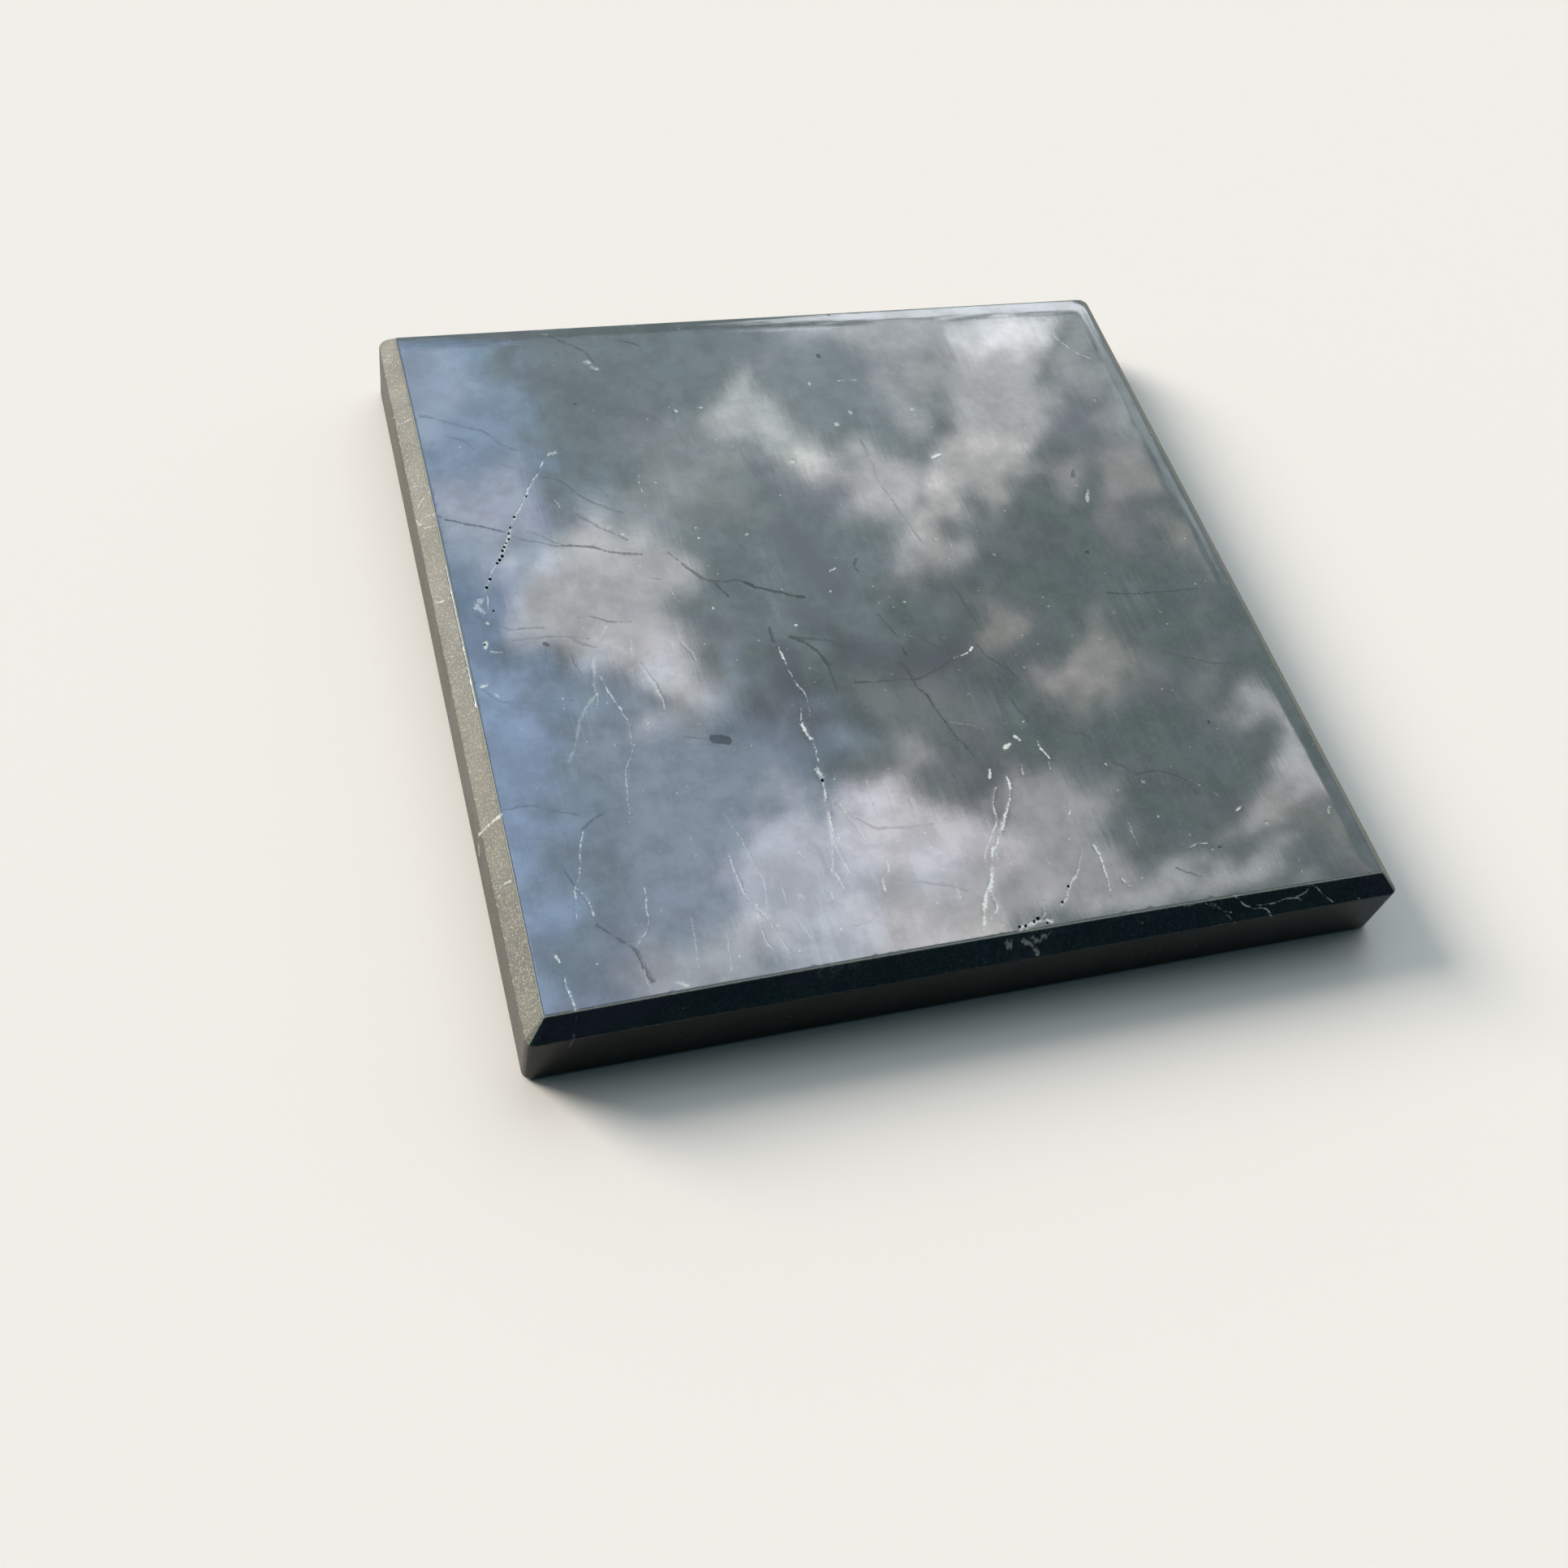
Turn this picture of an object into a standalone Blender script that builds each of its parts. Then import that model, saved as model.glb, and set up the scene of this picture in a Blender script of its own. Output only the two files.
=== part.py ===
"""Square slab of black stone with a polished working face and a ground chamfer round it.

It is one piece of stone. The origin is the centre of the underside, X runs along the front edge,
Y towards the back edge and Z up through the polished face. Lengths are in metres.
"""

import bmesh
import bpy
from mathutils import Vector

# Driving dimensions
SLAB_LENGTH = 0.100        # along X
SLAB_WIDTH = 0.100         # along Y
SLAB_THICKNESS = 0.010     # along Z
CHAMFER_WIDTH = 0.002      # how far the chamfer reaches in over the polished face
CHAMFER_DEPTH = 0.002      # how far the chamfer reaches down the sides
CORNER_EASING = 0.001      # radius ground on the four upright corners
BOTTOM_EASING = 0.0005     # radius ground round the underside

# Facets of the eased edges
CORNER_FACETS = 5          # odd, so that a mitre of the chamfer crosses a facet and not its edge
BOTTOM_FACETS = 3
ROUND_PROFILE = 0.5        # Bevel's profile value for a circular arc

# The stone's look
STONE_COLOUR = (0.028, 0.032, 0.034, 1.0)
STONE_ROUGHNESS = 0.22
STONE_IOR = 1.55

SAME_PLACE = 1e-6          # two heights closer than this are one height


def clear_scene():
    """Remove every object that is already in the file."""
    for item in list(bpy.data.objects):
        bpy.data.objects.remove(item, do_unlink=True)


def stone_material():
    """Fine-grained black stone with a polish."""
    material = bpy.data.materials.new("black_stone")
    material.use_nodes = True
    shader = material.node_tree.nodes["Principled BSDF"]
    shader.inputs["Base Color"].default_value = STONE_COLOUR
    shader.inputs["Metallic"].default_value = 0.0
    shader.inputs["Roughness"].default_value = STONE_ROUGHNESS
    shader.inputs["IOR"].default_value = STONE_IOR
    return material


def ease_corners(mesh):
    """Round the four upright corners of the sawn block."""
    upright = [edge for edge in mesh.edges
               if abs(edge.verts[0].co.z - edge.verts[1].co.z) > SAME_PLACE]
    bmesh.ops.bevel(mesh, geom=upright, affect="EDGES", offset=CORNER_EASING,
                    segments=CORNER_FACETS, profile=ROUND_PROFILE)


def grind_chamfer(mesh, direction):
    """Grind the edge of the top face that looks along direction down to a flat chamfer."""
    half_size = Vector((SLAB_LENGTH / 2, SLAB_WIDTH / 2, 0))
    lower_edge = Vector((direction.x * half_size.x, direction.y * half_size.y,
                         SLAB_THICKNESS - CHAMFER_DEPTH))
    outward = direction * CHAMFER_DEPTH + Vector((0, 0, CHAMFER_WIDTH))
    everything = mesh.verts[:] + mesh.edges[:] + mesh.faces[:]
    cut = bmesh.ops.bisect_plane(mesh, geom=everything, plane_co=lower_edge, plane_no=outward,
                                 clear_outer=True)
    rim = [item for item in cut["geom_cut"] if isinstance(item, bmesh.types.BMEdge)]
    bmesh.ops.contextual_create(mesh, geom=rim)


def ease_bottom(mesh):
    """Round the edge between the sides and the underside."""
    rim = [edge for edge in mesh.edges
           if all(abs(corner.co.z) < SAME_PLACE for corner in edge.verts)]
    bmesh.ops.bevel(mesh, geom=rim, affect="EDGES", offset=BOTTOM_EASING,
                    segments=BOTTOM_FACETS, profile=ROUND_PROFILE)


def make_slab(collection):
    """Saw the block, ease its corners, chamfer the top and ease the bottom edge."""
    bpy.ops.mesh.primitive_cube_add(size=1.0, location=(0, 0, SLAB_THICKNESS / 2))
    slab = bpy.context.object
    slab.name = "stone_slab"
    slab.data.name = "stone_slab"
    slab.scale = (SLAB_LENGTH, SLAB_WIDTH, SLAB_THICKNESS)
    bpy.ops.object.transform_apply(location=True, rotation=True, scale=True)

    mesh = bmesh.new()
    mesh.from_mesh(slab.data)
    ease_corners(mesh)
    for direction in (Vector((0, -1, 0)), Vector((1, 0, 0)), Vector((0, 1, 0)), Vector((-1, 0, 0))):
        grind_chamfer(mesh, direction)
    ease_bottom(mesh)
    bmesh.ops.recalc_face_normals(mesh, faces=mesh.faces)
    mesh.to_mesh(slab.data)
    mesh.free()

    slab.data.materials.append(stone_material())
    for owner in list(slab.users_collection):
        owner.objects.unlink(slab)
    collection.objects.link(slab)
    return slab


def main():
    clear_scene()
    collection = bpy.data.collections.new("polished_stone_slab")
    bpy.context.scene.collection.children.link(collection)
    make_slab(collection)


main()
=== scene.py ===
"""Square slab of black stone, polished on its face and ground round its edges, on a pale floor."""

from math import radians, sqrt

import bpy
import numpy as np
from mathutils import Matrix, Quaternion, Vector, noise


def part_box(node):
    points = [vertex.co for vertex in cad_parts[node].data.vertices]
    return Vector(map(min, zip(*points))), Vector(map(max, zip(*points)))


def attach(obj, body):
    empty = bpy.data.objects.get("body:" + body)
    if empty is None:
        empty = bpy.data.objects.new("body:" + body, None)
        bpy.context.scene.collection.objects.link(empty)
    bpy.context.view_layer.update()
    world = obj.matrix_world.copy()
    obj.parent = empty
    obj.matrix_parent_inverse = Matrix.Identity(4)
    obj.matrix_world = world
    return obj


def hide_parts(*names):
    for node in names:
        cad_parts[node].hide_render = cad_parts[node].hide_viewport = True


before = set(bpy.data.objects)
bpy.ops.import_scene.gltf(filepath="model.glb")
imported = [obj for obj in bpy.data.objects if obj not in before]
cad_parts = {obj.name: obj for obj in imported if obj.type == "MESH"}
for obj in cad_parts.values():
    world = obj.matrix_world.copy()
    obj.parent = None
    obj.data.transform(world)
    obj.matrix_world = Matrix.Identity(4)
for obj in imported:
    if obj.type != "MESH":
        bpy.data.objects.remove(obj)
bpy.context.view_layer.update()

# --------------------------------------------------------------------------------------------
# Sizes, in metres. Those of the slab come from the frame.
# --------------------------------------------------------------------------------------------
MM = 0.001
SLAB_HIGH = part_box("stone_slab")[1]
HALF_LENGTH = SLAB_HIGH.x
HALF_WIDTH = SLAB_HIGH.y
TOP = SLAB_HIGH.z
CHAMFER = 2.0 * MM               # each leg of the chamfer round the polished face
FACE_X = HALF_LENGTH - CHAMFER   # the polished face reaches this far from the middle
FACE_Y = HALF_WIDTH - CHAMFER
CORNER_EASING = 1.0 * MM         # radius of the slab's upright corners
BACK_LEFT_EASING = 1.8 * MM      # that corner was rounded more
FRONT_BOW = 0.30 * MM            # the hand-ground front and left chamfers are wider in the middle
ROLL_BACK = 2.3 * MM             # width of the band where the polish rolls off at the back edge
ROLL_RIGHT = 1.5 * MM            # the same at the right edge
ROLL_SLOPE = 0.035               # how far that band leans
GRID = 1.0 * MM                  # the surface's coarse mesh
EDGE_GAP = 0.08 * MM             # the flat face stops this far short of its edge, which is dulled

# --------------------------------------------------------------------------------------------
# Marks in the stone, in millimetres on the polished face, measured from its middle. Past the
# face's edge at 48 a mark goes on down the chamfer and the side, as if they were folded flat.
# Each vein is (width, strength, points).
# --------------------------------------------------------------------------------------------
PALE_VEINS = (
    # pitted vein
    (0.62, 0.65, ((-32, 26.2), (-32.9, 25.8))),
    (0.26, 0.68, ((-33.8, 24.8), (-34.7, 23.2), (-36, 21.3), (-37.2, 19), (-38.8, 16.4))),
    (0.38, 0.78, ((-38.8, 16.4), (-39.9, 13.8), (-41.2, 11), (-42, 9.7))),
    (0.28, 0.45, ((-42, 9.7), (-43.4, 7.3), (-44.1, 5.8), (-44.1, 4.4), (-44.2, 3))),
    (1.1, 0.45, ((-45.1, 4.3), (-45.5, 3.3), (-45, 2.9))), (0.4, 0.6, ((-44.7, 1), (-44.6, 0.9))),
    (0.75, 0.7, ((-45.6, -1.8), (-45.6, -2.2))), (0.62, 0.8, ((-46.9, -7.7), (-46.4, -7.5))),
    (0.5, 0.35, ((-45.6, -8.8), (-45.4, -9.3))),
    # left back veins
    (0.5, 0.32, ((-31.6, -1.2), (-32.6, -2.6), (-33.5, -4.4), (-34.1, -6.2), (-34.4, -8))),
    (0.5, 0.16, ((-34.5, -8), (-34.9, -10.5), (-36.3, -12.2), (-37.7, -14.8), (-38.3, -16.5),
        (-39.5, -19))),
    (0.2, 0.7, ((-33.9, -8), (-33.5, -9.8), (-33, -11.6), (-32.6, -12.9), (-32, -14.4))),
    (0.2, 0.4, ((-32, -14.4), (-32.4, -18.5), (-33.6, -20.6), (-34.2, -23.5), (-34.8, -27.5))),
    (0.2, 0.45, ((-29.2, -3.5), (-29.5, -4.8), (-29.7, -6))),
    (0.22, 0.85, ((-29.1, -6.8), (-28.4, -8.4), (-27.9, -10.2), (-27.6, -12.5))),
    (0.16, 0.45, ((-27.6, -12.5), (-27.8, -13.6))), (0.2, 0.45, ((-25.1, -3.7), (-24.8, -5.2))),
    (0.18, 0.5, ((-23.6, -4.7), (-23, -6), (-22.7, -7.3))), (0.18, 0.4, ((-34.5, -15.5), (-34.1, -18))),
    (0.22, 0.55, ((-34.6, -10.3), (-35, -12.3))),
    (0.22, 0.9, ((-23, 20.7), (-22.9, 19.6), (-22.9, 18.5))), (0.16, 0.3, ((-23.2, 3.8), (-22.3, 1.2))),
    # left front veins
    (0.24, 0.55, ((-39.9, -27.9), (-40.6, -30), (-41.2, -32.6), (-42, -34.2))),
    (0.26, 0.5, ((-42, -34.2), (-42.4, -36.2), (-42.6, -38))),
    (0.24, 0.55, ((-42, -34.2), (-41.1, -35.9), (-40.9, -37.8))),
    (0.2, 0.45, ((-35, -35.6), (-35.4, -38.5), (-35.8, -40.2), (-37.4, -42.3))),
    (0.2, 0.6, ((-25.4, -33.2), (-25.2, -36), (-24.8, -38.5), (-23.5, -41), (-22.9, -43.2), (-22, -45.6))),
    (0.18, 0.5, ((-24.6, -28), (-24, -30.2), (-23.2, -33), (-22.9, -35), (-22.5, -36.9), (-22.8, -38.9),
        (-23.5, -41))),
    (0.18, 0.5, ((-24.4, -41.2), (-24.2, -43.4), (-23.7, -44.8))),
    (0.18, 0.42, ((-20.7, -37), (-20.9, -39.6), (-20.3, -42), (-19.4, -44.5))),
    (0.18, 0.45, ((-18.1, -33.5), (-17.5, -35), (-16.7, -36.2))),
    (0.2, 0.3, ((-31.1, -39.8), (-31.4, -43), (-31.9, -46))), (0.2, 0.3, ((-28, -42.3), (-28.6, -46.5))),
    (0.28, 0.8, ((-45.5, -41.6), (-45.2, -42.5))),
    (0.34, 0.95, ((-45.1, -44.2), (-45, -46), (-44.8, -47.9))),
    (0.24, 0.22, ((-44.8, -48.1), (-45.2, -50), (-45.6, -52.4))),
    (0.6, 0.6, ((-34.4, -46.8), (-33.5, -47.3))), (0.22, 0.35, ((-37.2, -44.6), (-37.1, -46.6))),
    # central vein
    (0.3, 0.95, ((-12.5, -7), (-12.4, -8.7))),
    (0.24, 0.45, ((-12.4, -8.7), (-12.3, -10.6), (-11.8, -12.8), (-11.3, -14.2), (-11.7, -16.9))),
    (0.26, 0.6, ((-12.4, -15.6), (-12.9, -17.4))),
    (0.66, 0.95, ((-12.9, -17.8), (-12.7, -19.2), (-12.5, -20.2))),
    (0.42, 0.95, ((-12.4, -20), (-12.3, -21.6), (-12.5, -23.2))),
    (0.72, 0.95, ((-12.8, -24), (-12.8, -25.4))),
    (0.3, 0.7, ((-12.7, -25.6), (-12.9, -27.2), (-13.1, -28.4))),
    (0.3, 0.85, ((-13.2, -29.7), (-13.5, -31.8), (-13.8, -33.2))),
    (0.24, 0.6, ((-13.8, -33.2), (-14.4, -35.4), (-15, -37.2))),
    (0.2, 0.6, ((-13.8, -33.2), (-13.5, -35), (-13.2, -37.3))),
    (0.18, 0.45, ((-13.5, -32.4), (-12.8, -34))), (0.26, 0.75, ((-14.7, -37), (-14.4, -39.2))),
    (0.46, 0.6, ((-15.7, -39.3), (-15.8, -40.1))),
    (0.26, 0.8, ((-11.7, -29), (-11.3, -30.4), (-10.7, -32.2), (-10.2, -33.8))),
    (0.3, 0.85, ((-10, -38.9), (-9.9, -40.3))), (0.24, 0.6, ((-8.6, -36.5), (-8.9, -38))),
    (0.24, 0.8, ((-7.9, -28.6), (-8.1, -31.2))), (0.18, 0.4, ((-7.9, -26.4), (-7.9, -28.6))),
    (0.16, 0.35, ((-5.9, -27), (-5.8, -29), (-5.7, -32), (-5.2, -34.2))),
    (0.18, 0.6, ((-3.7, -29.5), (-3.7, -32.2), (-4.2, -34.8), (-3.6, -37), (-2.8, -38.9))),
    (0.16, 0.4, ((0.1, -35.5), (0.1, -37.5), (0.2, -39.6))), (0.3, 0.3, ((-2.1, -40.3), (-2.3, -42.6))),
    # forked vein
    (0.36, 0.95, ((8.4, -28.6), (8.2, -30.2), (7.4, -31.7), (6.4, -33.5))),
    (0.5, 1.0, ((6.4, -33.5), (5.3, -35.1), (4.3, -36.6), (3.2, -37.9), (2.6, -39.5))),
    (0.6, 1.0, ((2.6, -39.5), (1.9, -41.2), (1, -42.6), (0.2, -44), (-0.3, -45.5), (-1, -46.9))),
    (0.42, 0.8, ((6.7, -27.3), (6.3, -28.4))),
    (0.24, 0.65, ((6.6, -29.8), (5.9, -31), (5.4, -32.3), (5.2, -33.8), (4.3, -35.3), (3.2, -36.5),
        (2.4, -37.8), (2.1, -38.5))),
    (0.26, 0.8, ((1.6, -41.6), (1.4, -43.3), (1.5, -44.5), (0.9, -45.1), (0, -46.1))),
    (0.22, 0.6, ((3.8, -37), (3.6, -38.8))),
    # right veins
    (0.6, 0.9, ((9.6, -24.6), (10.3, -24.3))), (0.55, 0.95, ((11.2, -23.2), (11.6, -23.9))),
    (0.24, 0.6, ((10.7, -27.2), (10.4, -28.5))),
    (0.36, 0.95, ((13.7, -24.2), (13.8, -25.5), (14.3, -26.8))),
    (0.22, 0.55, ((14, -27.4), (13.9, -28.4))), (0.3, 0.8, ((14.4, -33), (13.9, -34.4))),
    (0.4, 0.9, ((15.2, -38.8), (15.3, -40))),
    (0.32, 0.9, ((15.3, -40), (15.2, -42), (14.9, -44), (14.7, -45.2))),
    (0.45, 0.85, ((16.7, -43.4), (16.9, -43.9))), (0.26, 0.5, ((17, -44.5), (17.3, -44.6))),
    (0.36, 0.95, ((7.8, -11.4), (8.3, -11.3))), (0.42, 0.95, ((8.8, -11.2), (9.5, -11), (9.9, -10.8))),
    (0.34, 0.95, ((10.2, -10.6), (10.6, -10.2))), (0.22, 0.35, ((2.7, -7.1), (4.3, -7.9))),
    (0.2, 0.16, ((4.2, -20.1), (6, -20.8), (7.2, -21.2))),
    (0.2, 0.35, ((29.8, -32), (31, -33.5), (32.6, -35))), (0.36, 0.75, ((33.8, -37.3), (34.7, -36.9))),
    (0.26, 0.55, ((26.2, -41.1), (27.3, -40.7), (28.4, -40.8))), (0.22, 0.25, ((20.3, -36), (20.2, -40))),
    (0.26, 0.35, ((40.8, 41), (41.5, 39.7), (42.4, 38.2), (43.2, 37.3), (44.6, 36))),
    (0.4, 0.75, ((45.1, -39.4), (45.4, -38.6))),
    # second pitted vein
    (0.2, 0.6, ((13.6, -39), (12.6, -40.7), (11.6, -42.2))),
    (0.36, 0.6, ((11.6, -42.2), (10.3, -43.4), (9.6, -44.6), (8.7, -45.5))),
    (0.26, 0.5, ((6.9, -44.5), (6.5, -45.8), (6, -46.7))),
    (0.7, 0.62, ((6.9, -47.2), (5.4, -46.9), (4.5, -47.2), (3, -47.5))),
    # front chamfer veins
    (0.8, 0.45, ((1.3, -48.8), (1.6, -49.2), (1.9, -48.7))),
    (0.7, 0.51, ((3.2, -48.9), (4.2, -49.6), (4.7, -50.4))),
    (0.8, 0.54, ((4.2, -48.6), (5, -49.4), (5.6, -48.8))), (0.3, 0.24, ((5.8, -49), (6.6, -48.5))),
    (0.22, 0.38, ((22.4, -48.1), (23.6, -48.2))),
    (0.22, 0.68, ((25, -48.1), (26.2, -48.7), (27.3, -49.2), (28.3, -49.7))),
    (0.2, 0.52, ((25.6, -48.1), (26.8, -48.9), (28, -50), (28.6, -50.9), (29.2, -51.7))),
    (0.26, 0.9, ((28.8, -48), (29.8, -49), (31.2, -49.7), (32.2, -49.8), (32.9, -50.2), (33.3, -50.8))),
    (0.24, 0.33, ((33.3, -50.8), (34, -52))),
    (0.2, 0.68, ((31.5, -49.4), (33.3, -49.5), (35, -49.2), (36.6, -49.3), (37.2, -49.7))),
    (0.18, 0.6, ((36.6, -49.2), (37.8, -48.8), (38.8, -48.3), (39.8, -49.1), (40.4, -49.8), (41.3, -50.5))),
    # left chamfer veins
    (0.52, 1.0, ((-47.9, -24.4), (-49.4, -24.6), (-50.8, -24.9))),
    (0.46, 1.0, ((-50.8, -24.9), (-52, -24.4), (-53.2, -24), (-56, -24.5))),
    (0.24, 0.6, ((-48.3, -32.2), (-49.5, -32.1), (-50.4, -32.5))),
    (0.3, 0.6, ((-50.1, -33), (-50.3, -33.1))), (0.2, 0.35, ((-48, -4.6), (-49.6, -4.9), (-50.6, -5.2))),
    (0.2, 0.5, ((-48.6, -2.6), (-49.5, -2.2), (-50.2, -1.9))),
    (0.22, 0.7, ((-48.7, 5.6), (-49.6, 5.7), (-50.4, 6))), (0.2, 0.45, ((-48.2, 16.3), (-49.8, 17))),
    (0.22, 0.65, ((-48, 18), (-49.2, 17.6), (-50.4, 18), (-50.6, 18.9))),
    (0.2, 0.6, ((-48.6, 18.2), (-49.5, 18.6), (-50.5, 18.1))),
    (0.22, 0.75, ((-48.2, 21.7), (-49.5, 21), (-50.2, 20.6))),
    (0.18, 0.4, ((-48.7, 21.9), (-49.8, 22.6))), (0.18, 0.4, ((-49.5, 23.5), (-50.4, 24), (-52, 25))),
    (0.2, 0.5, ((-48.5, 33.8), (-49.7, 34.2), (-50.6, 34.6))), (0.18, 0.45, ((-50.7, 36), (-52, 37))),
    (0.2, 0.4, ((-48.5, 45.6), (-50.5, 45.7))),
    # right edge veins
    (0.34, 0.85, ((47.9, 21.6), (49.6, 21), (51, 20.7), (53.4, 21.3))),
    (0.22, 0.6, ((48.2, -6.1), (49.8, -6.6), (51.6, -6.2), (54, -7))),
    (0.24, 0.55, ((48.3, -38.9), (50.4, -39.6), (52.7, -39.1))),
    (0.2, 0.45, ((48.6, 36.4), (50.3, 37), (52.8, 37.9))), (0.2, 0.45, ((51, 5.2), (53.2, 6.3), (56, 6))),
    (0.3, 0.4, ((50.4, -22.4), (51, -22.7))),
    # back edge veins
    (0.34, 0.8, ((-28.7, 48.1), (-29.6, 49.8), (-30.2, 51.6), (-30, 54.2))),
    (0.24, 0.6, ((-17.4, 48.2), (-16.6, 50.1), (-16.9, 52.6))),
    (0.26, 0.65, ((9.3, 48), (10.1, 49.6), (10, 51.4), (11.2, 54), (11, 56))),
    (0.2, 0.5, ((31.2, 48.3), (32, 50.2), (31.6, 52.4))), (0.2, 0.4, ((38.7, 49), (39.9, 50.8))),
)

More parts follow.
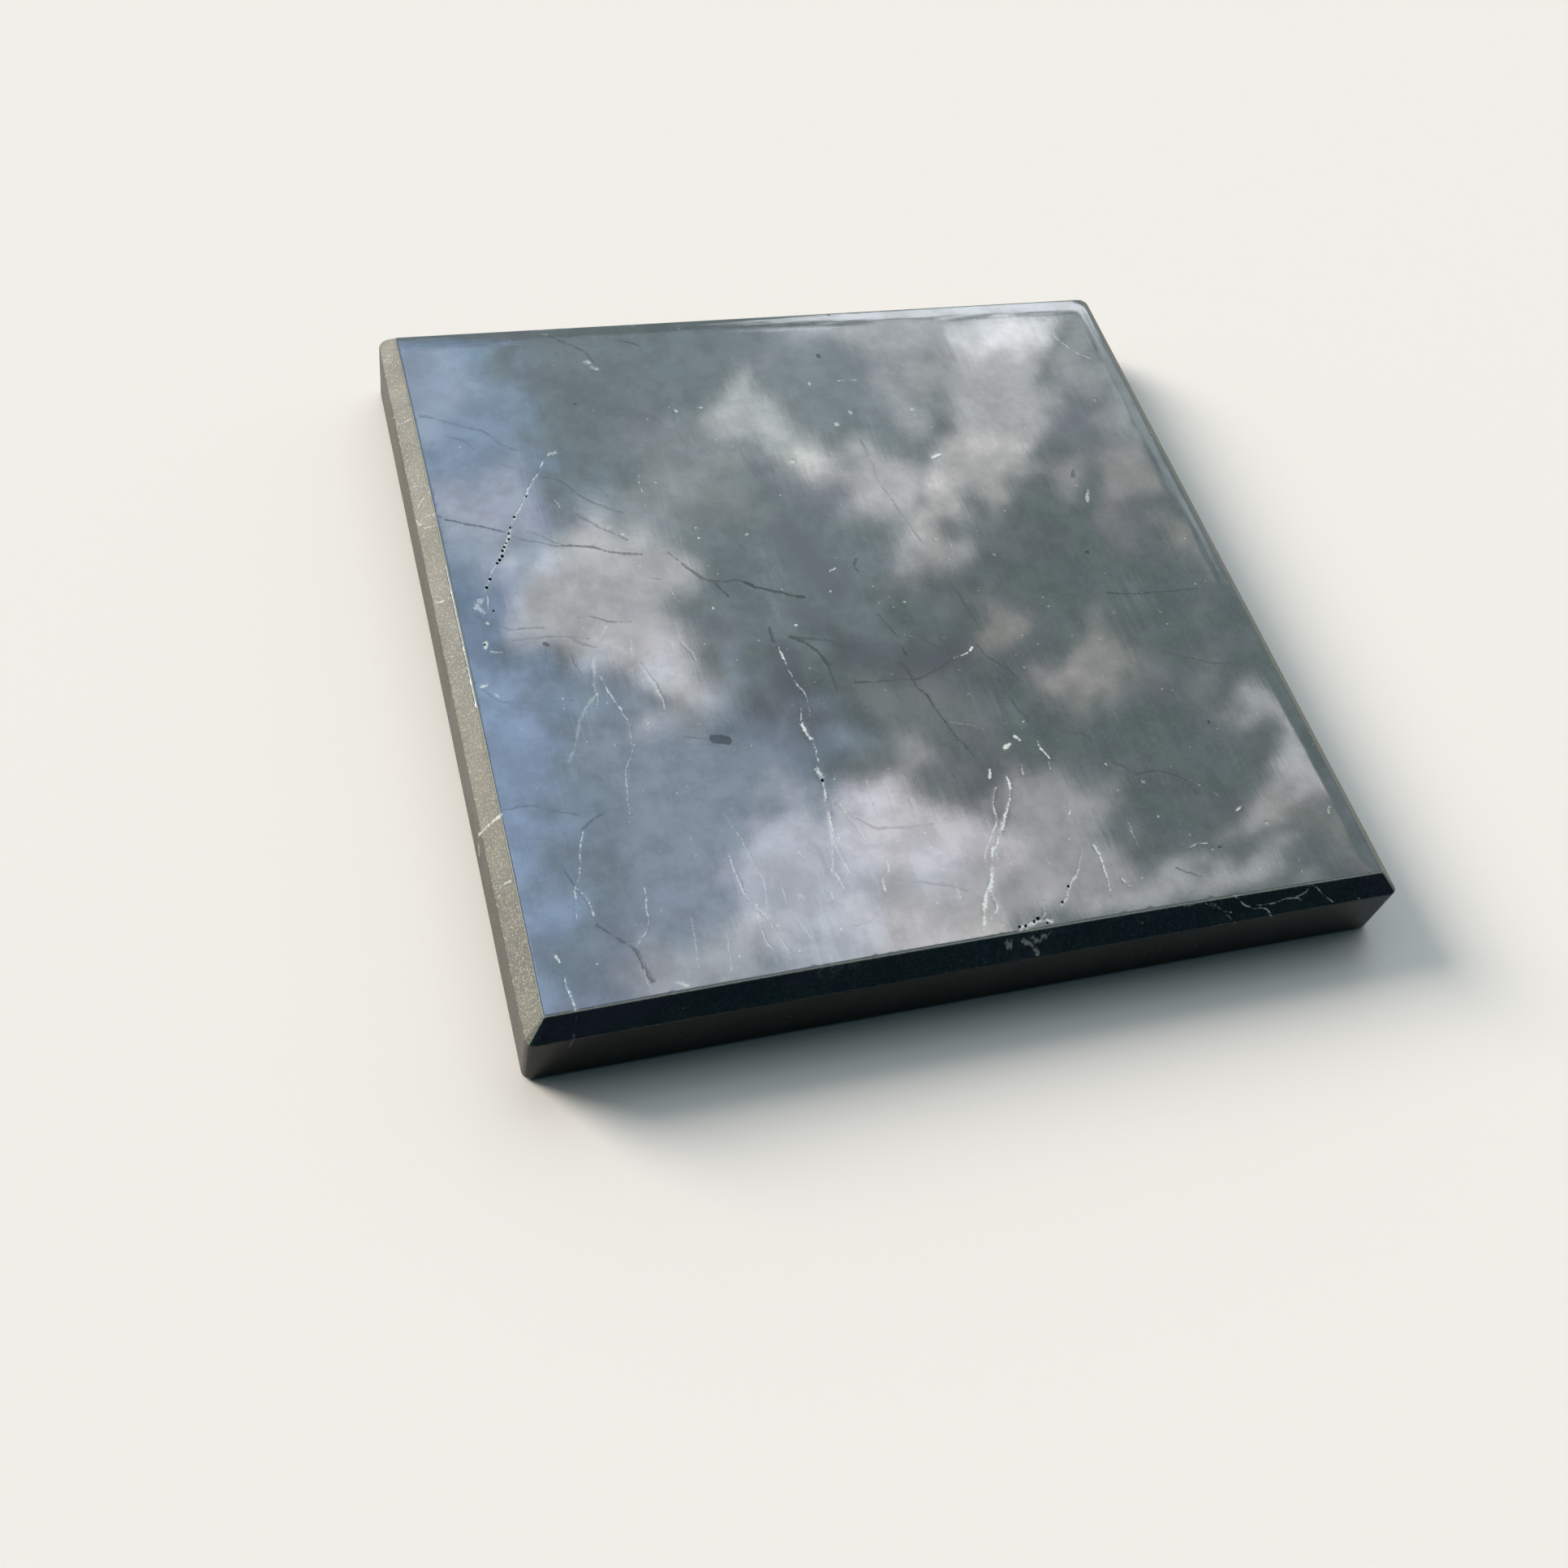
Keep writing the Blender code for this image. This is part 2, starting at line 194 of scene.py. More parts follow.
DARK_VEINS = (
    (0.26, 0.4, ((-47.3, 33.9), (-45.5, 33.5), (-44, 32.7), (-42.5, 31.9), (-41, 31.2), (-39.6, 30.2),
        (-38.4, 28.3), (-37, 27.3), (-36, 26.8))),
    (0.26, 0.36, ((-44.5, 30.2), (-42.5, 29.3), (-41.2, 27.2), (-39.5, 25.7), (-38.5, 24.9), (-37, 24),
        (-35.5, 23), (-34.5, 22.4))),
    (0.26, 0.52, ((-34.5, 22.4), (-33, 21.9), (-31.5, 20.6), (-30.5, 19), (-29.3, 17.7), (-27.5, 16.5),
        (-25.6, 15.4))),
    (0.24, 0.35, ((-28.6, 22.3), (-28.3, 21), (-27.8, 19.6), (-27.1, 18.3))),
    (0.36, 0.72, ((-47.6, 17.4), (-46, 16.5), (-44.5, 15.9), (-43, 15.5), (-41.8, 14.9), (-40.4, 14.3))),
    (0.3, 0.52, ((-39.6, 13.5), (-38.7, 12.9), (-37.6, 12.4), (-36.4, 12), (-34.8, 11.4))),
    (0.24, 0.42, ((-37.8, 14), (-36.5, 13.3), (-35.3, 12.3), (-34, 11.5))),
    (0.34, 0.68, ((-34.8, 11.4), (-33.2, 11.2), (-31.5, 11), (-30.2, 10.5), (-29.2, 9.9), (-27.5, 9.4),
        (-25.2, 8.8))),
    (0.28, 0.45, ((-31.6, 16), (-30.4, 14.8), (-29, 13.4), (-27.5, 12.3), (-26.2, 11.3))),
    (0.34, 0.6, ((-22, 8.8), (-20.9, 7.3), (-19.9, 5.7), (-19, 4.5), (-17.6, 3.7), (-16.4, 3.6), (-15, 3.5),
        (-14, 3.2))),
    (0.42, 0.78, ((-14, 3.2), (-13, 2.3), (-12, 1.9), (-11, 1.4), (-9.9, 1), (-8.5, 0.3), (-7.4, 0))),
    (0.3, 0.7, ((-17.6, 3.6), (-17, 2.2), (-16.5, 1.2))), (0.24, 0.45, ((-25, 5.2), (-23.5, 4.7))),
    (0.24, 0.4, ((-45.8, 2.6), (-45.3, 1.8), (-44.5, 0.9), (-43.5, 0.4), (-42.4, -0.2), (-40.5, -0.3),
        (-38.5, -0.5))),
    (0.22, 0.55, ((-34.5, 0.5), (-33, 0.4), (-31.5, -0.4), (-30.2, -0.8), (-28.5, -1))),
    (0.24, 0.4, ((-42.5, -1.8), (-40, -1.8), (-37.5, -1.9), (-35.5, -2.3), (-34, -2.6))),
    (0.22, 0.4, ((-36, -2.2), (-34.8, -3.4), (-33.3, -4))),
    (0.22, 0.35, ((-36.5, -4.9), (-36.2, -6.3), (-35.8, -8))),
    (0.22, 0.3, ((-47, -8), (-46, -9.3), (-44.8, -10.2), (-42, -10.5), (-40, -10.7), (-37.3, -10.9))),
    (0.24, 0.45, ((-47.6, -23.8), (-45, -23.7), (-43.5, -24.2), (-41.7, -25), (-39.9, -25.7))),
    (0.26, 0.5, ((-39.9, -27.5), (-38.3, -26.3), (-37.3, -25.9))),
    (0.22, 0.55, ((-42.8, -31.5), (-42.4, -33), (-41.8, -34.5))),
    (0.36, 0.62, ((-40.8, -38.8), (-39.6, -40.2), (-38.4, -41.5), (-37.5, -42.6), (-37.2, -44.4),
        (-36.7, -46.2))),
    (0.22, 0.5, ((-28, -17.3), (-25.2, -17.8), (-23.9, -18.2))),
    (0.32, 0.5, ((-28.5, 46.5), (-27, 45.3), (-25.5, 44.2), (-24.5, 43), (-24, 41.6))),
    (0.26, 0.65, ((-19.6, 45.2), (-18.5, 44.4), (-17.3, 43.9))),
    (0.22, 0.4, ((-21, 31.8), (-19, 31.2), (-17.8, 30))),
    (0.26, 0.3, ((-9.1, 26.5), (-8.9, 24.5), (-8.9, 23), (-8.4, 21.5), (-8.1, 19.5))),
    (0.26, 0.34, ((7.2, 24.5), (7.2, 22.2), (7.3, 20.8), (7.6, 19.8), (7.2, 17.8), (7.5, 16.3), (8, 14.6),
        (8.3, 12.8), (8.8, 10.5), (9.3, 8), (9.9, 6.2))),
    (0.3, 0.6, ((0.6, 5), (0.1, 3.8), (0.3, 2.9))),
    (0.26, 0.45, ((8.1, 0.6), (10.5, 0), (10.9, 0), (11.5, -1.3), (11.9, -3.7), (12.2, -5.5),
        (12.5, -6.8))),
    (0.36, 0.62, ((-10.8, -5.6), (-9.8, -6.3), (-8.8, -7.3), (-8, -8.7), (-7.5, -10.3))),
    (0.26, 0.45, ((-7.5, -10.3), (-7.5, -12), (-7.6, -14))),
    (0.28, 0.45, ((-10, -6), (-8, -6.4), (-6.2, -6.8), (-4.8, -8), (-3.2, -8.9), (-1.2, -9.8), (0, -10.5))),
    (0.24, 0.45, ((0.7, -3.7), (1.2, -5.2), (1.8, -6.7), (2.2, -7.5))),
    (0.42, 0.7, ((2, -8.8), (2.2, -10.2))),
    (0.3, 0.58, ((1.1, -11.2), (1.6, -12.3), (1.8, -13.6), (2.1, -15), (2.8, -16.2), (3.2, -18), (3.8, -20),
        (4.2, -22), (4.9, -23.6), (5.6, -25.4))),
    (0.28, 0.52, ((-5.2, -13), (-3.6, -13.3), (-1.5, -13.4), (0.5, -13.5), (2.2, -13.8), (4, -13.2),
        (5.5, -12.6), (6.8, -12), (7.7, -11.5))),
    (0.24, 0.45, ((4.8, -8), (6, -9.2), (7.5, -10.2), (8.2, -11))),
    (0.28, 0.52, ((11.2, -10), (11.8, -11.5), (12.7, -12.8), (14, -14), (14.5, -15.5))),
    (0.26, 0.42, ((12.2, -15), (12.6, -18), (13.3, -20.5), (13.6, -21.8))),
    (0.24, 0.45, ((2.2, -27), (2.9, -30))), (0.32, 0.6, ((-12.8, -4), (-12.9, -6), (-12.6, -7.2))),
    (0.32, 0.34, ((-12.3, -28.7), (-11.2, -30.2), (-10, -31.3), (-8.7, -32.5), (-7.9, -32.8), (-6, -32.9),
        (-4, -33.1), (-2.2, -33.2))),
    (0.28, 0.28, ((-9.2, -39), (-8.3, -39.9), (-6.5, -39.8), (-4.8, -40.3), (-2.6, -41.1), (-1.2, -41.8))),
    (0.24, 0.2, ((-14.5, -43.8), (-12.5, -43.5), (-10.5, -42))),
    (0.22, 0.18, ((-10.5, -42.8), (-8.6, -44))),
    (0.26, 0.48, ((21.5, -28.5), (22.7, -29.3), (23.8, -30.5), (26.3, -30.5), (28, -31.1), (29.2, -32),
        (29.8, -33.3), (30, -34.4))),
    (0.24, 0.4, ((34, -14), (36.7, -15.3), (38.5, -16), (39.5, -16.6), (41, -16.9), (43, -17.3))),
    (0.24, 0.4, ((17.8, -23.7), (19.5, -24.2), (20.3, -25.3))),
    (0.26, 0.55, ((30.5, -4.3), (32.5, -4.8), (34, -5), (37.5, -5.1), (41, -5.2), (43, -5.3))),
    (0.22, 0.16, ((16, 22), (19, 22), (21.5, 22.5))), (0.24, 0.5, ((23.5, -43.3), (26, -44.9))),
    (0.5, 0.5, ((33.6, 15), (34.1, 16))), (0.9, 0.3, ((37.2, 20.2), (37.2, 19.4))),
)
# Flat dark inclusions with clean outlines: a bean 2.6 mm long, and small ones.
INCLUSIONS = (
    (1.18, 1, ((-23.2, -18.35), (-21.85, -18.75))), (0.55, 1, ((-38.95, -2.7), (-38.65, -2.95))),
    (0.6, 1, ((6, 40.1), (6, 39.8))), (0.42, 1, ((30.65, 2.4), (30.9, 2.3))),
    (0.4, 1, ((35.8, -24.9), (35.8, -25.1))), (0.34, 1, ((29.7, -41.5), (29.8, -41.5))),
    (0.34, 1, ((-27.9, 34.1), (-27.8, 34.2))),
)

# Small pale grains: (x, y, width, strength), the strength with this much paint at 1
GRAIN_PAINT = 0.80
PALE_GRAINS = (
    (-28.2, 13.2, 0.5, 0.9), (-26.7, 12.1, 0.6, 0.95), (-26.2, 11, 0.35, 0.6),
    (-11.8, 10.5, 0.6, 0.95), (-11.1, 1.6, 0.3, 0.9), (-4, 0.4, 0.4, 0.85),
    (-9.7, -4.1, 0.38, 0.9), (4.5, -2.5, 0.5, 0.55), (11.6, 6.8, 0.55, 0.85),
    (13.3, 5.5, 0.4, 0.55), (12.4, 3.6, 0.5, 0.6), (-16.8, 4.8, 0.3, 0.7),
    (-5.9, 16.2, 0.45, 0.6), (-9.9, -12.4, 0.3, 0.7), (-29.9, -15.2, 0.4, 0.9),
    (-28.8, -32.7, 0.45, 0.45), (-26.4, -29, 0.4, 0.4), (-19.2, -39.3, 1.1, 0.4),
    (-18.8, -0.3, 0.4, 0.7), (-17.7, 10.6, 0.4, 0.65), (-17.8, 12.2, 0.35, 0.5),
    (-23, 16.4, 0.4, 0.45), (-16.2, 32.4, 0.5, 0.8), (-15.4, 31.8, 0.6, 0.8),
    (-12.1, 32, 0.4, 0.85), (-2.8, 21.6, 0.95, 0.85), (4.7, 27.3, 0.85, 0.55),
    (3.3, 34.9, 0.7, 0.5), (7.2, 29.3, 0.8, 0.4), (2.5, 22.3, 0.45, 0.5),
    (15.7, 29, 0.7, 0.45), (42.1, 28.3, 0.95, 0.75), (7.9, -21.7, 0.45, 0.85),
    (13, -21.5, 0.45, 0.6), (20.6, -28.8, 0.42, 0.9), (24.1, -36.5, 0.42, 0.85),
    (24.2, -31.7, 0.6, 0.35), (36.8, -39.4, 0.5, 0.75), (38.4, -44.7, 0.6, 0.9),
    (24.5, -22.2, 0.5, 0.45), (16.1, -18.6, 0.4, 0.5), (27.3, -11.3, 0.8, 0.7),
    (18.4, 3.5, 0.6, 0.45), (19.4, 3.2, 0.8, 0.45), (-34.3, -1.2, 0.4, 0.7),
    (-3, -35, 0.3, 0.3), (4.6, -38.3, 0.35, 0.45), (27.6, -44.5, 0.45, 0.4),
)
PALE_DASHES = (
    (0.32, 0.9, ((-3.2, 3.5), (-2.4, 3.8))), (0.8, 0.5, ((-24.9, 41.7), (-24.5, 40.9))),
    (1.0, 0.5, ((-24.4, 40.7), (-23.9, 40.2))), (0.5, 0.45, ((-29.7, 47.3), (-28.9, 47))),
    (0.45, 0.85, ((15.8, 20.3), (16.8, 20.8))), (0.32, 0.28, ((7.4, 35.1), (9.9, 35.1))),
    (0.55, 0.45, ((34, 10.6), (34.8, 12.4))), (0.26, 0.35, ((-33.6, 18.6), (-33.3, 17.4))),
    (0.3, 0.35, ((-45.2, -3), (-43.9, -3.3))),
)

# Wide, faint veils of the pale mineral just under the polish: (width, strength, points)
VEILS = (
    (1.9, 0.55, ((-14.2, -34), (-15.5, -37), (-16.3, -39.5), (-17.3, -42.5), (-18.4, -47))),
    (1.6, 0.3, ((-10.2, 8), (-11, 2), (-11.5, -4))),
    (2.2, 0.22, ((-15, 30), (-16.2, 25), (-18, 20), (-20.2, 15))),
    (1.2, 0.3, ((-25.3, 8.5), (-25.8, 6), (-26.9, 3), (-27.6, 0), (-27.3, -2))),
    (1.2, 0.35, ((-34, -6), (-34.9, -10), (-36.6, -13), (-38.2, -16.5), (-39.6, -20))),
    (2.2, 0.3, ((10.7, -18.2), (11.3, -20))), (1.8, 0.35, ((34.1, -2.8), (34.3, -5.6))),
    (1.4, 0.35, ((-37.3, 23.3), (-36.8, 22.4))), (1.8, 0.2, ((-28.8, -22.6), (-28.2, -23.6))),
    (1.6, 0.3, ((-15.2, -44.5), (-15.9, -47.6))), (1.4, 0.25, ((-12, -43.5), (-12.8, -47))),
    (2.4, 0.22, ((15.6, -31.5), (15.8, -35), (15.4, -38.4))),
    (1.6, 0.25, ((8.9, -45.2), (6, -46.8), (3, -47.5))),
)

# Broad purplish stains in the stone, with no edge of their own: (width, strength, points)
STAINS = (
    (6, 0.6, ((-6.5, 10.5), (-5, 6), (-3.8, 1.5))), (4, 0.7, ((-12.6, -8), (-12.8, -15.5))),
    (5, 0.7, ((-4, -9), (2, -10.5), (9, -10.5))), (4, 0.5, ((-9.5, -1.5), (-6.5, -4.5))),
    (5, 0.45, ((-34, 40), (-24, 36.5))), (4, 0.4, ((33.5, 24), (35.5, 17))),
)

# Pits where grains fell out of the veins: (x, y, radius, depth)
PITS = (
    (-36.8, 19.5, 0.12, 0.15), (-38.8, 16.4, 0.15, 0.2), (-39.6, 14.8, 0.11, 0.15),
    (-39.9, 13.9, 0.13, 0.2), (-40.1, 13.1, 0.13, 0.2), (-40.5, 12.5, 0.11, 0.15),
    (-40.8, 11.9, 0.15, 0.2), (-41.1, 11.4, 0.16, 0.22), (-41.3, 10.6, 0.17, 0.22),
    (-41.7, 10.05, 0.17, 0.22), (-42.05, 9.6, 0.15, 0.18), (-43.3, 7.35, 0.16, 0.2),
    (-43.9, 6.15, 0.17, 0.2), (-43.75, 2.7, 0.12, 0.12), (-45.6, -1.95, 0.12, 0.12),
    (-12.7, -25.6, 0.17, 0.2), (10.3, -43.3, 0.15, 0.18), (8.9, -45.1, 0.14, 0.15),
    (5.45, -46.65, 0.19, 0.22), (4.9, -46.95, 0.16, 0.2), (3.8, -47.3, 0.16, 0.2),
    (3.1, -47.3, 0.15, 0.2), (6.3, -47.4, 0.12, 0.12),
)

# --------------------------------------------------------------------------------------------
# Small helpers
# --------------------------------------------------------------------------------------------


def linear(hex_code):
    """A colour written as sRGB hex, turned to the linear numbers that a shader takes."""
    parts = [int(hex_code[i:i + 2], 16) / 255 for i in (1, 3, 5)]
    return tuple(p / 12.92 if p <= 0.04045 else ((p + 0.055) / 1.055) ** 2.4 for p in parts) + (1.0,)


def add(tree, kind, inputs=None, out=0, **settings):
    """Adds a node with its settings, sets or links its inputs, and gives back one of its outputs."""
    made = tree.nodes.new("ShaderNode" + kind)
    for name, value in settings.items():
        setattr(made, name, value)
    for socket, value in (inputs or {}).items():
        if isinstance(value, bpy.types.NodeSocket):
            tree.links.new(value, made.inputs[socket])
        else:
            made.inputs[socket].default_value = value
    return made.outputs[out] if made.outputs else made


def deselect_all():
    """An operator acts on all that is selected, so nothing is left so."""
    bpy.ops.object.select_all(action="DESELECT")


# --------------------------------------------------------------------------------------------
# Camera
# --------------------------------------------------------------------------------------------
LOOK_AT = Vector((-17.1 * MM, -25.4 * MM, TOP))
CAMERA_AZIMUTH = radians(-29.42)
CAMERA_ELEVATION = radians(54.46)
CAMERA_DISTANCE = 183.8 * MM
CAMERA_ROLL = radians(16.74)
CAMERA_LENS = 38.77              # on a 36 mm sensor

cos_up = np.cos(CAMERA_ELEVATION)
back = Vector((np.sin(CAMERA_AZIMUTH) * cos_up, -np.cos(CAMERA_AZIMUTH) * cos_up,
               np.sin(CAMERA_ELEVATION)))
deselect_all()
bpy.ops.object.camera_add(location=LOOK_AT + back * CAMERA_DISTANCE)
camera = bpy.context.object
camera.name = "camera"
camera.data.lens = CAMERA_LENS
camera.data.sensor_width = 36.0
camera.data.clip_start = 0.01
camera.rotation_mode = "QUATERNION"
camera.rotation_quaternion = (-back).to_track_quat("-Z", "Y") @ Quaternion((0, 0, 1), CAMERA_ROLL)
bpy.context.scene.camera = camera

# --------------------------------------------------------------------------------------------
# The slab's mesh: a fine grid for the face, drawn out and down into the chamfer and the sides
# --------------------------------------------------------------------------------------------
# Each ring round the slab is (how far outside the face's edge, height), in millimetres, on a
# slab of this thickness.
RINGS_THICKNESS = 10.0
RINGS_MM = (
    (-0.01, 9.984), (0.06, 9.94),                       # the dulled edge of the polished face
    (0.65, 9.35), (1.30, 8.70), (1.94, 8.06),           # the chamfer
    (1.99, 7.99), (2.0, 7.90),                          # its lower edge
    (2.0, 6.90), (2.0, 5.85), (2.0, 4.80), (2.0, 3.75), (2.0, 2.70), (2.0, 1.60),
    (2.0, 0.50), (1.96, 0.31), (1.85, 0.15), (1.69, 0.04), (1.5, 0.0),   # eased to the underside
)


def ring_steps():
    """The rings in metres, as (half length, half width, height)."""
    return [(FACE_X + out * MM, FACE_Y + out * MM, z / RINGS_THICKNESS * TOP) for out, z in RINGS_MM]


def unfold(co):
    """Each vertex's place in millimetres with the chamfer and sides folded out flat."""
    x, y, z = co.T / MM
    thick = TOP / MM
    slope = np.clip(thick - z, 0, CHAMFER / MM) * sqrt(2)
    side = np.clip(thick - CHAMFER / MM - z, 0, None)
    reach = slope + side
    fx, fy = FACE_X / MM, FACE_Y / MM
    past_x = np.abs(x) - fx
    past_y = np.abs(y) - fy
    outside = (past_x > -0.005) | (past_y > -0.005) | (z < thick - 0.001)
    on_end = outside & (past_x >= past_y)
    on_front = outside & ~on_end
    u = np.where(on_end, np.sign(x) * (fx + reach), x)
    v = np.where(on_front, np.sign(y) * (fy + reach), y)
    return u, v


def segment_distance(u, v, a, b):
    """How far each place is from the straight line between two points."""
    along = np.array((b[0] - a[0], b[1] - a[1]))
    length2 = max(float(along @ along), 1e-9)
    t = np.clip(((u - a[0]) * along[0] + (v - a[1]) * along[1]) / length2, 0, 1)
    return np.hypot(u - a[0] - t * along[0], v - a[1] - t * along[1])


def near_marks(u, v, marks, reach):
    """For each straight stretch of each mark: the places near it, how far they are from its line,
    and the mark's width and strength. Places count as near within its width plus the reach."""
    for width, strength, points in marks:
        wide = width + reach
        for a, b in zip(points[:-1], points[1:]):
            near = np.nonzero((u > min(a[0], b[0]) - wide) & (u < max(a[0], b[0]) + wide)
                              & (v > min(a[1], b[1]) - wide) & (v < max(a[1], b[1]) + wide))[0]
            if len(near):
                yield near, segment_distance(u[near], v[near], a, b), width, strength


def mark_distance(u, v, marks, reach=1.0):
    """How far each place is from the nearest mark's edge, in millimetres; reach if further."""
    best = np.full(len(u), reach)
    for near, distance, width, _ in near_marks(u, v, marks, reach):
        best[near] = np.minimum(best[near], distance - width / 2)
    return best


def mark_field(u, v, marks):
    """A ridge along each mark, 1 on its line and 0 at twice its half width, and its strength."""
    field = np.zeros(len(u))
    strength_of = np.zeros(len(u))
    for near, distance, width, strength in near_marks(u, v, marks, 0):
        ridge = 1 - distance / width
        higher = ridge > field[near]
        field[near[higher]] = ridge[higher]
        strength_of[near[higher]] = strength
    return field, strength_of


def curved(points):
    """More points, on a smooth line through these ones."""
    if len(points) < 3:
        return points
    rows = np.array(points)
    rows = np.vstack([2 * rows[0] - rows[1], rows, 2 * rows[-1] - rows[-2]])
    line = []
    for before, start, end, after in zip(rows, rows[1:], rows[2:], rows[3:]):
        square = 2 * before - 5 * start + 4 * end - after
        cube = 3 * (start - end) + after - before
        for t in (0, 1 / 3, 2 / 3):
            line.append(start + 0.5 * t * (end - before + t * (square + t * cube)))
    return line + [rows[-2]]


def dot(x, y):
    """A mark so short that it is only its width across."""
    return ((x, y), (x + 0.01, y))


PALE = [(w, s, curved(p)) for w, s, p in PALE_VEINS]
PALE += list(PALE_DASHES)
PALE += [(w, GRAIN_PAINT * s, dot(x, y)) for x, y, w, s in PALE_GRAINS]
DARK = [(w, s, curved(p)) for w, s, p in DARK_VEINS]
PIT_MARKS = [(2 * r, 1.0, dot(x, y)) for x, y, r, _ in PITS]


def select_faces(mesh_object, chosen):
    """In object mode, selects the chosen faces and nothing else."""
    mesh = mesh_object.data
    for part in (mesh.vertices, mesh.edges, mesh.polygons):
        part.foreach_set("select", np.zeros(len(part), bool))
    mesh.polygons.foreach_set("select", chosen)


def vertex_places(mesh):
    """Each vertex's place, one row for each."""
    co = np.zeros(len(mesh.vertices) * 3)
    mesh.vertices.foreach_get("co", co)
    return co.reshape(-1, 3)


def face_centres(mesh):
    """The middle of each face, and how many corners it has."""
    centres = np.zeros(len(mesh.polygons) * 3)
    mesh.polygons.foreach_get("center", centres)
    corners = np.zeros(len(mesh.polygons), np.int32)
    mesh.polygons.foreach_get("loop_total", corners)
    return centres.reshape(-1, 3), corners


# Each halving of the faces reaches this far, in millimetres, from a mark's edge, from an upright
# corner, and in from the front and left edges of the face, and these other marks count too. -9
# leaves those edges out.
HALVINGS = ((0.67, 2.4, 0.9, VEILS), (0.31, 1.7, 0.4, ()), (0.13, 0.0, -9.0, ()))
PAST_EDGE = 0.6                  # and this far down the chamfer from those edges
PIT_MARGIN = 0.09                # one more halving, round the pits
WHOLE_BELOW = 0.02               # the underside stays one face


def make_slab():
    """Draws the slab from a grid, and halves its faces again and again near each mark."""
    deselect_all()
    cells = round(2 * FACE_X / GRID)
    bpy.ops.mesh.primitive_grid_add(x_subdivisions=cells, y_subdivisions=cells, size=1,
                                    location=(0, 0, TOP))
    slab = bpy.context.object
    slab.name = "veined_slab"
    slab.scale = (2 * (FACE_X - EDGE_GAP), 2 * (FACE_Y - EDGE_GAP), 1)
    bpy.ops.object.transform_apply(location=True, rotation=True, scale=True)

    # Draw the outline out and down, one ring at a time.
    bpy.ops.object.mode_set(mode="EDIT")
    bpy.ops.mesh.select_mode(type="EDGE")
    bpy.ops.mesh.select_all(action="SELECT")
    bpy.ops.mesh.region_to_loop()
    half_x, half_y, height = FACE_X - EDGE_GAP, FACE_Y - EDGE_GAP, TOP
    for next_x, next_y, next_height in ring_steps():
        bpy.ops.mesh.extrude_edges_move(
            TRANSFORM_OT_translate={"value": (0, 0, next_height - height)})
        bpy.ops.transform.resize(value=(next_x / half_x, next_y / half_y, 1),
                                 center_override=(0, 0, 0))
        half_x, half_y, height = next_x, next_y, next_height
    bpy.ops.mesh.edge_face_add()
    bpy.ops.mesh.select_all(action="SELECT")
    bpy.ops.mesh.normals_make_consistent(inside=False)
    bpy.ops.object.mode_set(mode="OBJECT")

    # Halve the faces near marks and corners, so that their edges are drawn finely.
    marks = PALE + DARK + PIT_MARKS + list(INCLUSIONS)
    corner_x, corner_y = HALF_LENGTH / MM, HALF_WIDTH / MM
    for margin, corner_reach, edge_reach, others in HALVINGS:
        centres, corners = face_centres(slab.data)
        u, v = unfold(centres)
        close = mark_distance(u, v, marks) < margin
        close |= mark_distance(u, v, others) < margin
        x, y, z = np.abs(centres.T / MM)
        close |= (x > corner_x - corner_reach) & (y > corner_y - corner_reach)
        close |= (v > -FACE_Y / MM - PAST_EDGE) & (v < -FACE_Y / MM + edge_reach)
        close |= (u > -FACE_X / MM - PAST_EDGE) & (u < -FACE_X / MM + edge_reach)
        close &= (corners == 4) & (z > WHOLE_BELOW)
        halve(slab, close)
    centres, corners = face_centres(slab.data)
    u, v = unfold(centres)
    halve(slab, (mark_distance(u, v, PIT_MARKS) < PIT_MARGIN) & (corners == 4))
    return slab


def halve(slab, close):
    """Cuts the chosen faces in half both ways."""
    select_faces(slab, close)
    bpy.ops.object.mode_set(mode="EDIT")
    bpy.ops.mesh.select_mode(type="FACE")
    bpy.ops.mesh.subdivide(number_cuts=1)
    bpy.ops.object.mode_set(mode="OBJECT")


def noise_at(points, size, seed):
    """Smooth noise between -1 and 1, with lumps of about that size in millimetres."""
    shift = Vector((seed * 7.3, seed * 3.1, seed * 5.7))
    return np.array([noise.noise(Vector(p) / size + shift) for p in points])


def round_corner(x, y, centre):
    """Bends the square corner outside this centre, as far along x as y, into a quarter circle."""
    dx = np.abs(x) - centre
    dy = np.abs(y) - centre
    inside = (dx > 0) & (dy > 0)
    shrink = np.maximum(dx, dy) / np.maximum(np.hypot(dx, dy), 1e-9)
    x = np.where(inside, np.sign(x) * (centre + dx * shrink), x)
    y = np.where(inside, np.sign(y) * (centre + dy * shrink), y)
    return x, y


# How the marks run and how the slab was ground and worn, in millimetres.
WANDER, WANDER_LUMP = 0.16, 1.1          # a mark leaves its points by this much, in bends this long
FRAY, FRAY_LUMP = 0.06, 0.35
STRAND_WANDER, STRAND_LUMP = 0.42, 2.3   # each crack has a second strand beside it
STRAND_FRAY, STRAND_FRAY_LUMP = 0.08, 0.4
STRAND_SHARE, STRAND_STRENGTH = 0.9, 0.7
VEIL_SPREAD = 1.6                        # veils fade out over more than their width
PIT_STRETCH = 0.85                       # pits are a little longer than wide
PIT_RIM = 1.6                            # the painted shade in and round a pit has gone at this many radii
WEAR_AND_HIGHLIGHT_REACH = 1.0                         # edges are worn, and painted with a pale highlight, up to this distance from them
# the lower edges and the foot get less wear and less painted highlight
LESS_WORN_LOW, LESS_WORN_FOOT = 0.08, 0.25
FAR = 9.0                                # beyond any wear
FACE_CORNER, FACE_CORNER_BACK_LEFT = 0.25, 0.3     # corner radii at the face
BOW_FADE = 6.0                           # the bow of an edge starts this far from it
LEFT_BOW = 0.7                           # of the front edge's bow
SLOW_WOBBLE, SLOW_LUMP = 0.035, 9.0      # ground flats are never quite flat
FINE_WOBBLE, FINE_LUMP = 0.010, 1.6
